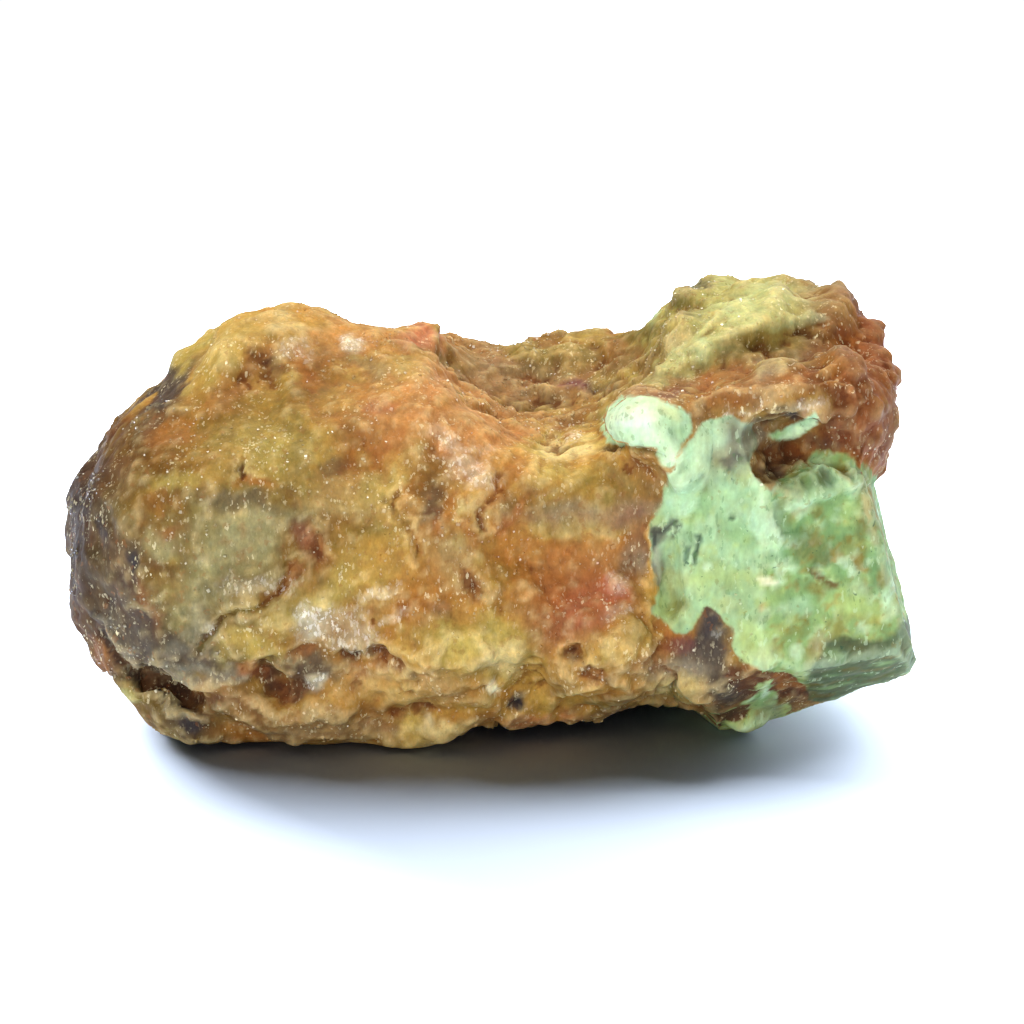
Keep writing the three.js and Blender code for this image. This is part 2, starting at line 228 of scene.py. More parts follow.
FRONT_MARKS = as_marks(
    # West dome, top
    ("gold", -30, 24, 9, 4, 10, 0.7), ("straw", -29, 21.4, 7, 2.6, 5, 0.6),
    ("cream", -26, 22.6, 4, 1.2, -10, 0.35), ("straw", -40, 19, 8, 2.2, 38, 0.7),
    ("tan", -26, 20, 6, 3, -10, 0.5), ("frost", -25.5, 19.5, 3, 1.2, 10, 0.35),
    ("rust", -30.5, 17.5, 2, 2.8, -30, 0.85, -0.4), ("rust", -29, 15.5, 1, 1.2, 0, 0.6, -0.3),
    ("brown", -28, 16.8, 1.8, 1, -20, 0.7, -0.2), ("ochre", -24.5, 16.5, 1.4, 2.4, 10, 0.8, -0.15),
    ("slate", -40.5, 15.2, 4.4, 1.3, 42, 0.75), ("smoke", -42, 12, 2.2, 3.6, -30, 0.6),
    ("gold", -43, 15.5, 3.4, 0.8, 45, 0.8), ("ochre", -39.5, 9.8, 3.4, 2.2, 15, 0.85),
    ("rust", -40.6, 9, 2.4, 1.6, 15, 0.35), ("ochre", -34.5, 13.5, 3.6, 1.5, 35, 0.7),
    ("ochre", -36, 5.5, 2.6, 2.6, 70, 0.45), ("olive", -31, 11, 8, 3.2, 10, 0.5),
    ("straw", -29, 7, 5.6, 3.4, 5, 0.65, 0.15), ("straw", -40, 3.8, 4.6, 1.3, 18, 0.6),
    ("moss", -25.5, 8.5, 1.2, 3, -10, 0.5, -0.1), ("umber", -32.2, 4.6, 0.5, 1, 0, 0.8, -0.4),
    ("ochre", -30.5, 3.4, 2.4, 0.7, -5, 0.8, -0.1), ("smoke", -33, 1.2, 5.2, 1.5, -5, 0.6),
    ("moss", -41, -0.5, 3.4, 2, 10, 0.5), ("ochre", -42.5, 0.8, 2.6, 1.8, 0, 0.45),
    ("rust", -41, -2.6, 1.6, 0.5, 25, 0.6, -0.1),
    # West dome, face
    ("sage", -33.5, -3.6, 4.2, 3.6, 0, 0.85), ("sage", -42, -4, 2.2, 1.4, 0, 0.6),
    ("sage", -27, -1, 5, 2, 8, 0.5), ("sage", -19, 2, 4.8, 2.2, 20, 0.5, 0.2),
    ("gold", -19, 2, 4, 2, 20, 0.3), ("straw", -15, -1, 4, 4, 0, 0.4),
    ("olive", -17, -3.5, 4, 2.6, 20, 0.5), ("straw", -14, 5.5, 5, 1.4, 30, 0.5),
    ("smoke", -21.5, 5, 2, 1, 30, 0.4), ("rust", -23.8, -3.4, 1.6, 2.8, 28, 0.9, -0.3),
    ("rose", -24.6, -2.6, 1, 1.2, 0, 0.4, 0.1), ("dark_rust", -23.2, -4.8, 0.8, 1.2, 20, 0.5, -0.2),
    ("frost", -30, -8, 4, 1, 10, 0.35), ("smoke", -46, -6, 2.4, 4, 15, 0.6),
    ("slate", -45, -5.9, 0.7, 2, 38, 0.8, -0.1), ("brown", -47.5, -4, 1.4, 2.6, 15, 0.6),
    ("slate", -48.3, -1.6, 0.7, 1.8, 15, 0.8), ("rust", -50, -2.6, 0.9, 2.2, 15, 0.6),
    ("umber", -52, -4.4, 1.6, 3, 0, 0.7), ("brown", -49.6, 3, 2.2, 4, -20, 0.7),
    ("umber", -50.5, -6, 2, 4, 10, 0.6), ("umber", -49.6, -11, 1.8, 4, 20, 0.6),
    ("smoke", -48.4, -13.6, 1.2, 2.6, 30, 0.7), ("smoke", -51, 1, 2, 5, -15, 0.8),
    ("umber", -49.4, -1, 2.6, 4.4, -6, 0.55), ("brown", -47, 5, 2.4, 3.4, -30, 0.6),
    ("slate", -43.3, -9, 0.6, 3, 30, 0.7, -0.1), ("ochre", -42.5, -11.5, 0.9, 2.8, 10, 0.8),
    ("sage", -37, -11.5, 3.4, 4.4, 0, 0.55), ("ash", -36.5, -14.5, 2, 3, 0, 0.5),
    ("smoke", -33.5, -13, 2.4, 2.2, 40, 0.4), ("ash", -45, -15, 2, 3.4, 30, 0.6),
    ("smoke", -44.5, -13, 3, 5, 28, 0.7), ("smoke", -38, -17.3, 6, 2, -8, 0.75),
    ("umber", -44.5, -13.6, 2.6, 5, 28, 0.35), ("umber", -38, -17.8, 6, 1.4, -8, 0.3),
    ("ash", -40.5, -16.5, 1.4, 1, 0, 0.5), ("frost", -35.5, -14.5, 0.8, 1.2, 30, 0.6),
    ("ash", -36, -19, 7, 0.8, -8, 0.6), ("straw", -27, -18, 4, 1.4, 5, 0.5),
    ("straw", -32, -16.5, 3.4, 1.6, 10, 0.55), ("olive", -31, -10.5, 3, 1.8, 20, 0.5),
    ("straw", -21, -11, 6, 4, -10, 0.45), ("frost", -23.3, -12.5, 2.2, 2.6, -20, 1.0),
    ("frost", -21.6, -13.4, 3.4, 1.4, 10, 0.6), ("frost", -15.6, -9.6, 2.2, 0.8, 30, 0.6),
    ("frost", -13.4, -12.6, 2, 0.6, 20, 0.4), ("straw", -19, -8, 4, 2, 15, 0.5),
    ("tan", -19, -14, 3.6, 2.6, 20, 0.5), ("frost", -18.5, -15.5, 3.4, 1.2, 5, 0.5),
    # Under the dome
    ("dark_rust", -28.4, -19.8, 1.5, 1.7, 20, 0.9, -0.4), ("rust", -26, -20.8, 1.8, 1.4, 0, 0.8, -0.3),
    ("rose", -30.5, -19, 2, 0.8, 10, 0.5), ("smoke", -23.6, -19.6, 2.4, 2.8, 0, 0.85),
    ("frost", -23.2, -20.3, 1, 0.9, 0, 0.95, 0.2), ("rust", -24.2, -16.8, 1.6, 0.9, 15, 0.8, -0.25),
    ("soot", -41.5, -20.2, 4.8, 1.5, -32, 0.95, -0.4), ("smoke", -40.2, -22.6, 3.6, 0.9, -32, 0.7, 1.0),
    ("dark_rust", -36.4, -21.6, 2.2, 0.8, -12, 0.9, -0.2), ("rust", -33.5, -22.4, 1.6, 0.8, -8, 0.7),
    ("ochre", -48.7, -17.2, 1.2, 3, 10, 0.8, 0.25), ("dark_rust", -47.4, -18, 0.9, 2.4, 15, 0.7, -0.2),
    ("olive", -45.6, -21, 2.2, 1.8, -30, 0.6, 0.15), ("lime", -45.4, -21.6, 1.4, 0.8, -20, 0.35),
    ("umber", -38.8, -25, 3.2, 3.2, 20, 0.9), ("slate", -38.4, -25, 1.2, 1.4, 0, 0.7),
    ("tan", -30, -24, 6, 2.4, -10, 0.6, 0.2), ("ochre", -30, -27, 6, 1.2, 0, 0.6),
    ("tan", -22, -26, 6, 1.8, 0, 0.8), ("gold", -22, -23.6, 3, 1.8, 0, 0.7, 0.2),
    ("moss", -17, -27, 5, 1, 4, 0.3),
    # Saddle and back ridge
    ("peach", -19, 21.5, 6, 1.6, 0, 0.6), ("frost", -18.5, 20.6, 1.6, 0.8, -15, 0.85, 0.1),
    ("rose", -10.5, 21.2, 2.4, 1.6, -25, 0.95), ("straw", -12, 17.5, 3, 1.2, -25, 0.5),
    ("sage", -16.5, 18, 2.4, 1.4, -30, 0.4), ("tan", -4, 19.5, 4, 1.4, 0, 0.6),
    ("olive", 3, 20.2, 4.6, 1.1, 0, 0.9, 0.1), ("brown", 2, 17.5, 3.4, 1.6, 0, 0.35, -0.2),
    ("tan", 0, 16, 5, 1.8, 0, 0.5, -0.1), ("tan", 5, 14.5, 6, 1.8, 5, 0.5),
    ("ash", 2, 17, 8, 3, 0, 0.25), ("plum", 8, 15.4, 2, 0.9, 5, 0.85, 0.1),
    ("slate", 11, 15.2, 1.6, 0.8, 0, 0.5), ("straw", 13, 16, 2.4, 0.7, 0, 0.5),
    ("umber", 5.5, 8.9, 2.2, 0.5, 0, 0.9, -0.5), ("frost", 7, 9, 1.2, 0.5, 15, 0.6),
    ("coral", -9, 15.4, 4, 2, -10, 0.35),
    # Rosy shoulder
    ("peach", -10, 13, 9, 4.5, 5, 0.65), ("rose", -16, 12.4, 1.8, 1, 0, 0.5),
    ("ochre", -18, 14, 1.6, 1.4, 0, 0.5), ("rose", -6, 8.5, 6, 3, 0, 0.35),
    ("peach", -2, 8, 6, 3.4, 0, 0.6), ("frost", -6.5, 8, 3.6, 0.9, -12, 0.4),
    ("peach", -5, 5, 3, 1.6, -10, 0.5), ("frost", -5, 5, 2.8, 1.4, -10, 0.6, 0.15),
    ("moss", -9.5, 4, 2.4, 3, 20, 0.5, -0.2), ("slate", -9, 1, 1.3, 2.4, -5, 0.55),
    ("ochre", -2, 3, 1, 3.4, -35, 0.8, -0.15), ("dark_rust", -4, -0.8, 0.6, 1.2, -10, 0.7, -0.2),
    ("gold", -14, -6, 4, 3, 0, 0.5), ("ochre", -11.5, -3.4, 0.9, 2.2, 10, 0.6, -0.2),
    ("sage", -7.5, -6, 2.2, 3, 0, 0.4),
    # Honey hollow and the orange patch
    ("gold", 6, 7.5, 8, 1.6, 5, 0.7), ("honey", 12, 5, 5, 2, 0, 0.5),
    ("straw", 5.5, 4.2, 4.4, 1.8, 0, 0.6), ("straw", 6, 7.8, 5, 1.4, 6, 0.85),
    ("cream", 6, 7.4, 3.4, 1.2, 6, 0.5), ("moss", 12, 2.6, 4, 1.6, 0, 0.45),
    ("olive", 7, 1, 8, 2, 5, 0.4), ("brown", 16, 3, 2, 6, 0, 0.5),
    ("smoke", -0.8, 0.5, 1.2, 1.6, 0, 0.35), ("ochre", 1, -4, 3.6, 2, 10, 0.6),
    ("coral", 8.4, -10, 5.6, 4.6, 0, 0.6), ("ochre", 8, -6.5, 8, 3, 10, 0.6),
    ("rust", 4.5, -11, 2.6, 4, 10, 0.5, -0.15), ("peach", 10, -5.4, 4.4, 1.6, 0, 0.4),
    ("rose", 11, -11, 3, 2.2, -20, 0.25), ("rust", 11, -8, 2.4, 2, 0, 0.35),
    ("coral", 12, -9.4, 2, 1.6, 0, 0.7, -0.1), ("peach", 8, -15, 2.4, 1.4, 0, 0.4),
    ("frost", 12.4, -8.6, 1.2, 1.4, -10, 0.35), ("frost", 12.5, -12.4, 2, 0.8, 5, 0.3),
    ("brown", 15, -4, 2, 3.4, 0, 0.65), ("ash", 14.4, -5.6, 1.8, 1.6, 0, 0.45),
    ("ash", 10, -1, 7, 1.8, 3, 0.5), ("straw", 8.4, -2.4, 7, 1, 2, 0.4),
    ("plum", 14, -1.2, 1.8, 1.4, 0, 0.35), ("coral", 0.2, -0.6, 1.2, 2.6, -30, 0.3),
    ("gold", 16.8, -7, 0.7, 6, 0, 0.6, 0.15), ("rust", -5.4, -8.3, 0.9, 1.4, 30, 0.85, -0.3),
    ("dark_rust", -4.3, -9.5, 0.7, 1, 20, 0.6, -0.15), ("ochre", -5.4, -12, 2, 2.4, 10, 0.4),
    # Low bumps
    ("straw", -6.5, -15.5, 4.6, 3, 10, 0.8, 0.45), ("straw", -7.5, -14, 2.4, 1.2, 10, 0.6),
    ("straw", -1.5, -16.4, 3.4, 3.2, -15, 0.8, 0.45), ("straw", -0.5, -13.5, 2.4, 0.8, -25, 0.6),
    # The cream mark lightens a crevice between the bumps: painted light. The spark mark is a painted glint.
    ("cream", -1.4, -17.4, 2.4, 1.8, 0, 0.5), ("spark", -2.6, -20.9, 0.8, 0.6, 0, 0.95, 0.15),
    ("slate", 0.6, -22.7, 1.2, 0.9, 0, 1.0), ("soot", 0.6, -22.9, 0.9, 0.6, 0, 0.7),
    ("gold", 4, -19, 3.6, 2, 10, 0.5), ("straw", 12, -17.2, 4.2, 3, 5, 0.55, 0.5),
    ("tan", 11, -19.5, 4, 1.4, 10, 0.5), ("dark_rust", 7.3, -17, 1.2, 0.9, -20, 0.95, -0.5),
    ("rust", 9.3, -19.7, 2.2, 0.8, -28, 0.85, -0.4), ("tan", 5.5, -19.5, 1.6, 2.4, 0, 0.5, 0.3),
    ("dark_rust", -19, -17.2, 1.2, 0.9, 10, 0.85, -0.5),
    ("dark_rust", -16, -16.6, 1.2, 0.7, -20, 0.9, -0.45),
    ("rust", -14.5, -18.2, 1.8, 1, -35, 0.85, -0.45), ("rust", -18.5, -19, 1, 1, 0, 0.5, -0.2),
    ("dark_rust", -12, -20.2, 0.7, 1, 0, 0.7, -0.3), ("cream", -14, -20.6, 7, 2, 0, 0.3, 0.1),
    ("gold", -15, -21.5, 6, 1.4, 0, 0.5, 0.1), ("rust", -11, -23.5, 3.6, 0.7, 8, 0.8, -0.25),
    # The spark mark is a painted glint.
    ("straw", -11, -25.7, 3, 2.2, 0, 0.8, 0.3), ("spark", -9.5, -24.8, 0.5, 0.9, 0, 0.5),
    ("tan", -4, -25.5, 6, 1.6, 4, 0.7), ("straw", -7, -26, 2.4, 1.2, 4, 0.6, 0.15),
    # The two cream marks here lighten the low edge, which lies in shade: painted light.
    ("cream", -7.5, -26, 3, 1.2, 4, 0.35), ("cream", -20, -26, 8, 1.2, 0, 0.3),
    ("smoke", -3, -27.4, 4, 0.8, 4, 0.5), ("rose", 4, -24.6, 5, 0.9, 8, 0.6),
    ("smoke", 14, -24, 6, 1, 8, 0.6), ("moss", 13, -22.8, 4, 0.8, 12, 0.5),
    # Grey seam and smoky wedge
    ("rust", 17.3, -15.5, 1.3, 3.4, -30, 0.7, -0.1), ("plum", 20.6, -15.4, 2, 1, -10, 0.6),
    ("ash", 19.4, -19, 3.4, 2.4, 0, 0.8), ("tan", 17.8, -21, 3.4, 1.2, 0, 0.7),
    ("ash", 23.4, -18.6, 2.6, 2.4, -20, 0.7), ("smoke", 24.2, -14.4, 1.7, 3, -10, 0.95),
    ("slate", 25.6, -15.4, 0.8, 1.8, -10, 0.5), ("smoke", 22.4, -16.2, 2, 1.4, 0, 0.7),
    ("frost", 24.4, -14.4, 0.6, 0.6, 0, 0.3), ("slate", 24.4, -13.4, 1.2, 1.6, 0, 0.5),
    ("smoke", 24.8, -19.4, 1.8, 3, 0, 0.75), ("smoke", 22, -16.6, 2.6, 1.8, -20, 0.6),
    ("plum", 20.4, -15.6, 1.6, 1.2, 0, 0.5), ("umber", 25.8, -21.6, 2.4, 2.6, -15, 0.85),
    ("dark_rust", 32, -21.2, 4, 1.3, -6, 0.95, -0.25), ("umber", 33.4, -21.2, 2.2, 0.9, 0, 0.85),
    ("dark_rust", 28, -20.6, 1.4, 1.4, 0, 0.9, -0.2), ("dark_rust", 27, -20, 1, 2.6, -12, 0.85, -0.2),
    ("straw", 19.4, -21.4, 3, 1.8, 0, 0.6, 0.7), ("cream", 18.8, -20.2, 1.4, 1, 0, 0.5),
    ("smoke", 25.2, -22, 2, 2, -10, 0.8), ("umber", 25, -24.4, 1.4, 1.2, 0, 0.6),
    ("rust", 32.4, -20.6, 1.8, 0.5, -5, 0.85, -0.15),
    ("dark_rust", 33, -21.6, 1.4, 0.8, -10, 0.8, -0.1),
    # Pale nub on the edge of the saddle
    ("moss", 14.5, 7.2, 4, 0.6, -5, 0.8, -0.35), ("umber", 11.8, 7.4, 1.6, 0.5, -5, 0.6, -0.2),
    # Lip over the block
    ("brown", 20, 14.4, 5, 1.4, 5, 0.5), ("plum", 16, 14, 4, 0.8, 5, 0.4),
    ("tan", 18, 15.6, 2.6, 1, 5, 0.6), ("ochre", 26, 15, 5, 2.4, 20, 0.6),
    ("rust", 27.5, 16.5, 1.6, 1.2, 0, 0.7, -0.2), ("rust", 24, 14.5, 2, 1.6, 0, 0.5),
    ("ash", 31, 16.5, 2.2, 1.4, 0, 0.5), ("ochre", 33, 14, 3.4, 2, 10, 0.6, 0.15),
    ("gold", 28, 12.6, 1.8, 0.9, 0, 0.8), ("straw", 27.6, 12.4, 0.8, 0.6, 0, 0.7),
    ("brown", 22, 11, 1.8, 1.6, 0, 0.7), ("umber", 30.5, 11, 2.6, 0.6, 5, 0.7, -0.2),
    ("slate", 33.2, 11.6, 0.9, 0.6, -25, 0.9), ("frost", 25.6, 11.2, 0.5, 0.5, 0, 0.9),
    ("straw", 36.6, 13, 1.1, 1.6, -10, 0.8, 0.15), ("frost", 36.4, 12.6, 0.5, 1, -10, 0.8),
    ("frost", 28.4, 12.6, 3, 0.6, 8, 0.4), ("frost", 35.6, 12.4, 1.6, 0.7, 12, 0.5),
    ("ochre", 30, 14.4, 6.4, 1.4, 8, 0.55), ("gold", 33.6, 13.4, 2.4, 0.8, 10, 0.5),
    ("brown", 30, 13.6, 6, 1.6, 8, 0.3), ("tan", 30, 13.8, 3, 1.2, 10, 0.6),
    ("brown", 29.4, 14, 2.6, 1.3, 8, 0.45), ("ash", 28.4, 9.6, 2, 1.4, 10, 0.8),
    # The brown and umber marks darken the hollow under the lip: partly its brown colour, partly painted
    # shade.
    ("brown", 32, 6.6, 4, 2.4, -10, 0.95, -0.3), ("umber", 30.4, 4.6, 1.8, 1.4, 20, 0.75, -0.3),
    ("smoke", 31.4, 3.8, 1.4, 1.2, 40, 0.5), ("ochre", 34, 7.6, 2, 0.8, 10, 0.5),
    ("smoke", 37, 8.6, 2, 0.8, 10, 0.6),
    # North-east lobe
    ("ochre", 41, 12, 4, 8, 0, 0.5), ("ochre", 43, 17, 3, 4, 0, 0.5),
    ("rust", 44.4, 19.6, 1.6, 2.4, 0, 0.5), ("dark_rust", 39.6, 10.4, 1.2, 1.6, 0, 0.35, -0.1),
    ("peach", 40.5, 14.5, 0.7, 0.7, 0, 0.7, 0.15), ("tan", 43.6, 12, 1, 1.2, 0, 0.6, 0.2),
    ("tan", 42, 8.4, 1, 1, 0, 0.6, 0.2), ("tan", 45, 9, 1.4, 2, 0, 0.4, 0.15),
    ("gold", 38.5, 17.5, 1.6, 1.4, 0, 0.6), ("ochre", 43.5, 6, 2, 2, 0, 0.6),
    # Crown
    ("crown", 27, 23, 9, 4, 12, 0.7), ("lichen", 28, 24, 6, 2.2, 10, 0.6),
    ("lichen", 32, 26.4, 6, 1.2, -2, 0.6), ("moss", 20.5, 24.8, 1.8, 1.8, 0, 0.7, -0.2),
    ("smoke", 21.5, 27.4, 2.6, 0.7, 5, 0.7), ("moss", 15, 21, 4, 0.9, 20, 0.7),
    ("rust", 12.5, 19.4, 1.6, 1, 0, 0.5), ("moss", 27, 18.8, 5, 1, 18, 0.4),
    ("olive", 29.5, 20.6, 5, 1, 22, 0.3), ("mint", 22.5, 19.2, 1.1, 1.3, 0, 0.6, 0.1),
    ("lichen", 21, 17, 6, 1, 14, 0.5), ("brown", 14.5, 17.5, 3.4, 1.4, 15, 0.6),
    ("gold", 24.5, 23, 1, 1, 0, 0.5), ("cream", 20, 19.8, 1.8, 1.4, 20, 0.5),
)

FRONT_SEAMS = [
    Seam("ash", [(-49.2, -12.2), (-45.8, -16.8), (-43, -18.8), (-38, -20.2), (-31.5, -19.8)], 0.5, 0.7, 0.2),
    Seam("soot", [(-48.8, -14.4), (-46.2, -18.4), (-42.4, -20.8), (-37, -21.8)], 0.7, 0.8, -0.3),
    Seam("moss", [(-37.4, -16.8), (-33.6, -13), (-29.8, -10.6), (-28, -9.6), (-27, -6.6)], 0.5, 0.8, -0.4),
    Seam("rust", [(-29.6, -10), (-27.6, -8.6), (-26, -6)], 0.7, 0.7, -0.25),
    Seam("tan", [(-36.8, -20.6), (-31.6, -21.8), (-26.8, -24.2), (-21.4, -24.6), (-15.6, -24)], 1, 0.6,
         0.12),
    Seam("brown", [(-36, -22.4), (-31.4, -23.6), (-27, -26), (-21.6, -26.4), (-14, -25.6)], 0.7, 0.5, -0.15),
    Seam("rust", [(-1.6, 4.6), (-2.6, 2), (-4, 0.2), (-3.6, -1.8)], 0.35, 0.85, -0.25),
    Seam("mint", [(25, 8), (21.5, 4), (18.6, -0.4)], 1.6, 0.7, 0.2),
    Seam("lichen", [(20.5, 19), (24, 22.6), (28, 25)], 0.8, 0.6, 0.2),
    Seam("lichen", [(23, 21.4), (24.6, 24), (27.6, 25)], 0.5, 0.35, 0.15),
    Seam("mint", [(33.4, 22.6), (36, 23.2), (38, 23)], 0.5, 0.45, 0.2),
    Seam("lichen", [(18, 17.4), (23, 19.4), (30, 22.4), (36, 23.4)], 0.7, 0.5, 0.2),
    Seam("moss", [(18, 15.6), (25, 18), (31, 20), (37, 21)], 0.7, 0.35, -0.12),
    Seam("rust", [(31.2, -6.6), (33.2, -8), (35, -9.2)], 0.5, 0.8, -0.1),
    Seam("moss", [(-15.4, 2), (-12.4, -1), (-11.6, -5)], 0.6, 0.5, -0.25),
    Seam("tan", [(5.2, -21.6), (10, -20.8), (15.2, -18.2), (17, -15)], 0.6, 0.5, 0.25),
]

GREEN_SEAMS = [
    Seam("slate", [(19.2, -0.8), (17.2, -2.2), (16.9, -4.4)], 0.45, 0.85, -0.1),
    Seam("ash", [(17.1, -5), (17.4, -8.4)], 0.5, 0.6, 0),
    Seam("teal", [(22.1, -3), (21.9, -5.2), (22, -6)], 0.26, 0.9, -0.1),
    Seam("teal", [(20.8, -4.2), (20.9, -6)], 0.22, 0.7, -0.1),
    Seam("slate", [(19.8, -1.4), (18.8, -2.8)], 0.25, 0.7, 0),
    Seam("brown", [(35.2, -7), (36.8, -8), (38.4, -9)], 0.3, 0.85, -0.1),
    Seam("milk", [(28.6, 4.4), (30.4, 0.6), (31.8, -3)], 0.5, 0.6, 0.1),
]

# The outlines of the green stone's parts as they show from the front, placed as marks are.
GREEN_OUTLINE = [
    (22.8, 10), (20.4, 8.2), (18.6, 5.4), (18, 2.4), (17.4, 0.2), (16.4, -2), (16.6, -5.8), (17.4, -9.2),
    (17, -11.2), (18, -12.8), (20.2, -14.2), (22, -13.2), (23.4, -11.4), (25.4, -12.4), (26.4, -13.8),
    (26.4, -16.2), (27.6, -17.4), (28.6, -18.6), (30.4, -19.4), (33.6, -19.6), (34.6, -20.8),
    (35.8, -22.6), (41, -22), (45, -20.4), (48, -18.4), (48, -14), (47, -5), (45, 1), (43, 4),
    (41.8, 5.4), (40.4, 6.8), (39, 7.4), (36.6, 7.6), (35.4, 6.8), (34.8, 5.8), (33.2, 5.2), (32, 3.8),
    (30.6, 2.4), (29.2, 3), (28.4, 4.8), (28, 6.2), (29, 8.6), (28.4, 10.6), (25.8, 11.2),
]
PALE_NUB = [
    (10.5, 10.3), (11.2, 12.4), (13, 13.8), (16.4, 13.7), (19, 12.8), (21.1, 11.5), (21.4, 9.5),
    (20, 8.3), (19, 5.2), (17.6, 5.6), (17, 7.8), (14, 7.8), (11.2, 8.3),
]
LIP_EDGE = [
    (30.4, 9.2), (32.6, 9.9), (34.6, 11), (36.1, 11.7), (36.3, 10.5), (35.2, 9.5), (33.4, 8.7), (31.4, 8.5),
]
# The smooth face under the block, made dark by painted shade.
HEEL = [
    (34.2, -22.8), (34.8, -19.6), (37.4, -15.2), (39, -14.9), (43.6, -15.4), (45.4, -14.4), (47, -12.2),
    (49, -14), (49, -19), (45, -21), (40, -23), (36, -24),
]
GREEN_TIP = [
    (28.8, -21), (30.6, -21.2), (31.2, -23), (33.4, -23.6),
    (31.4, -25.6), (27.4, -27.6), (24.6, -25.6), (27.6, -24),
]

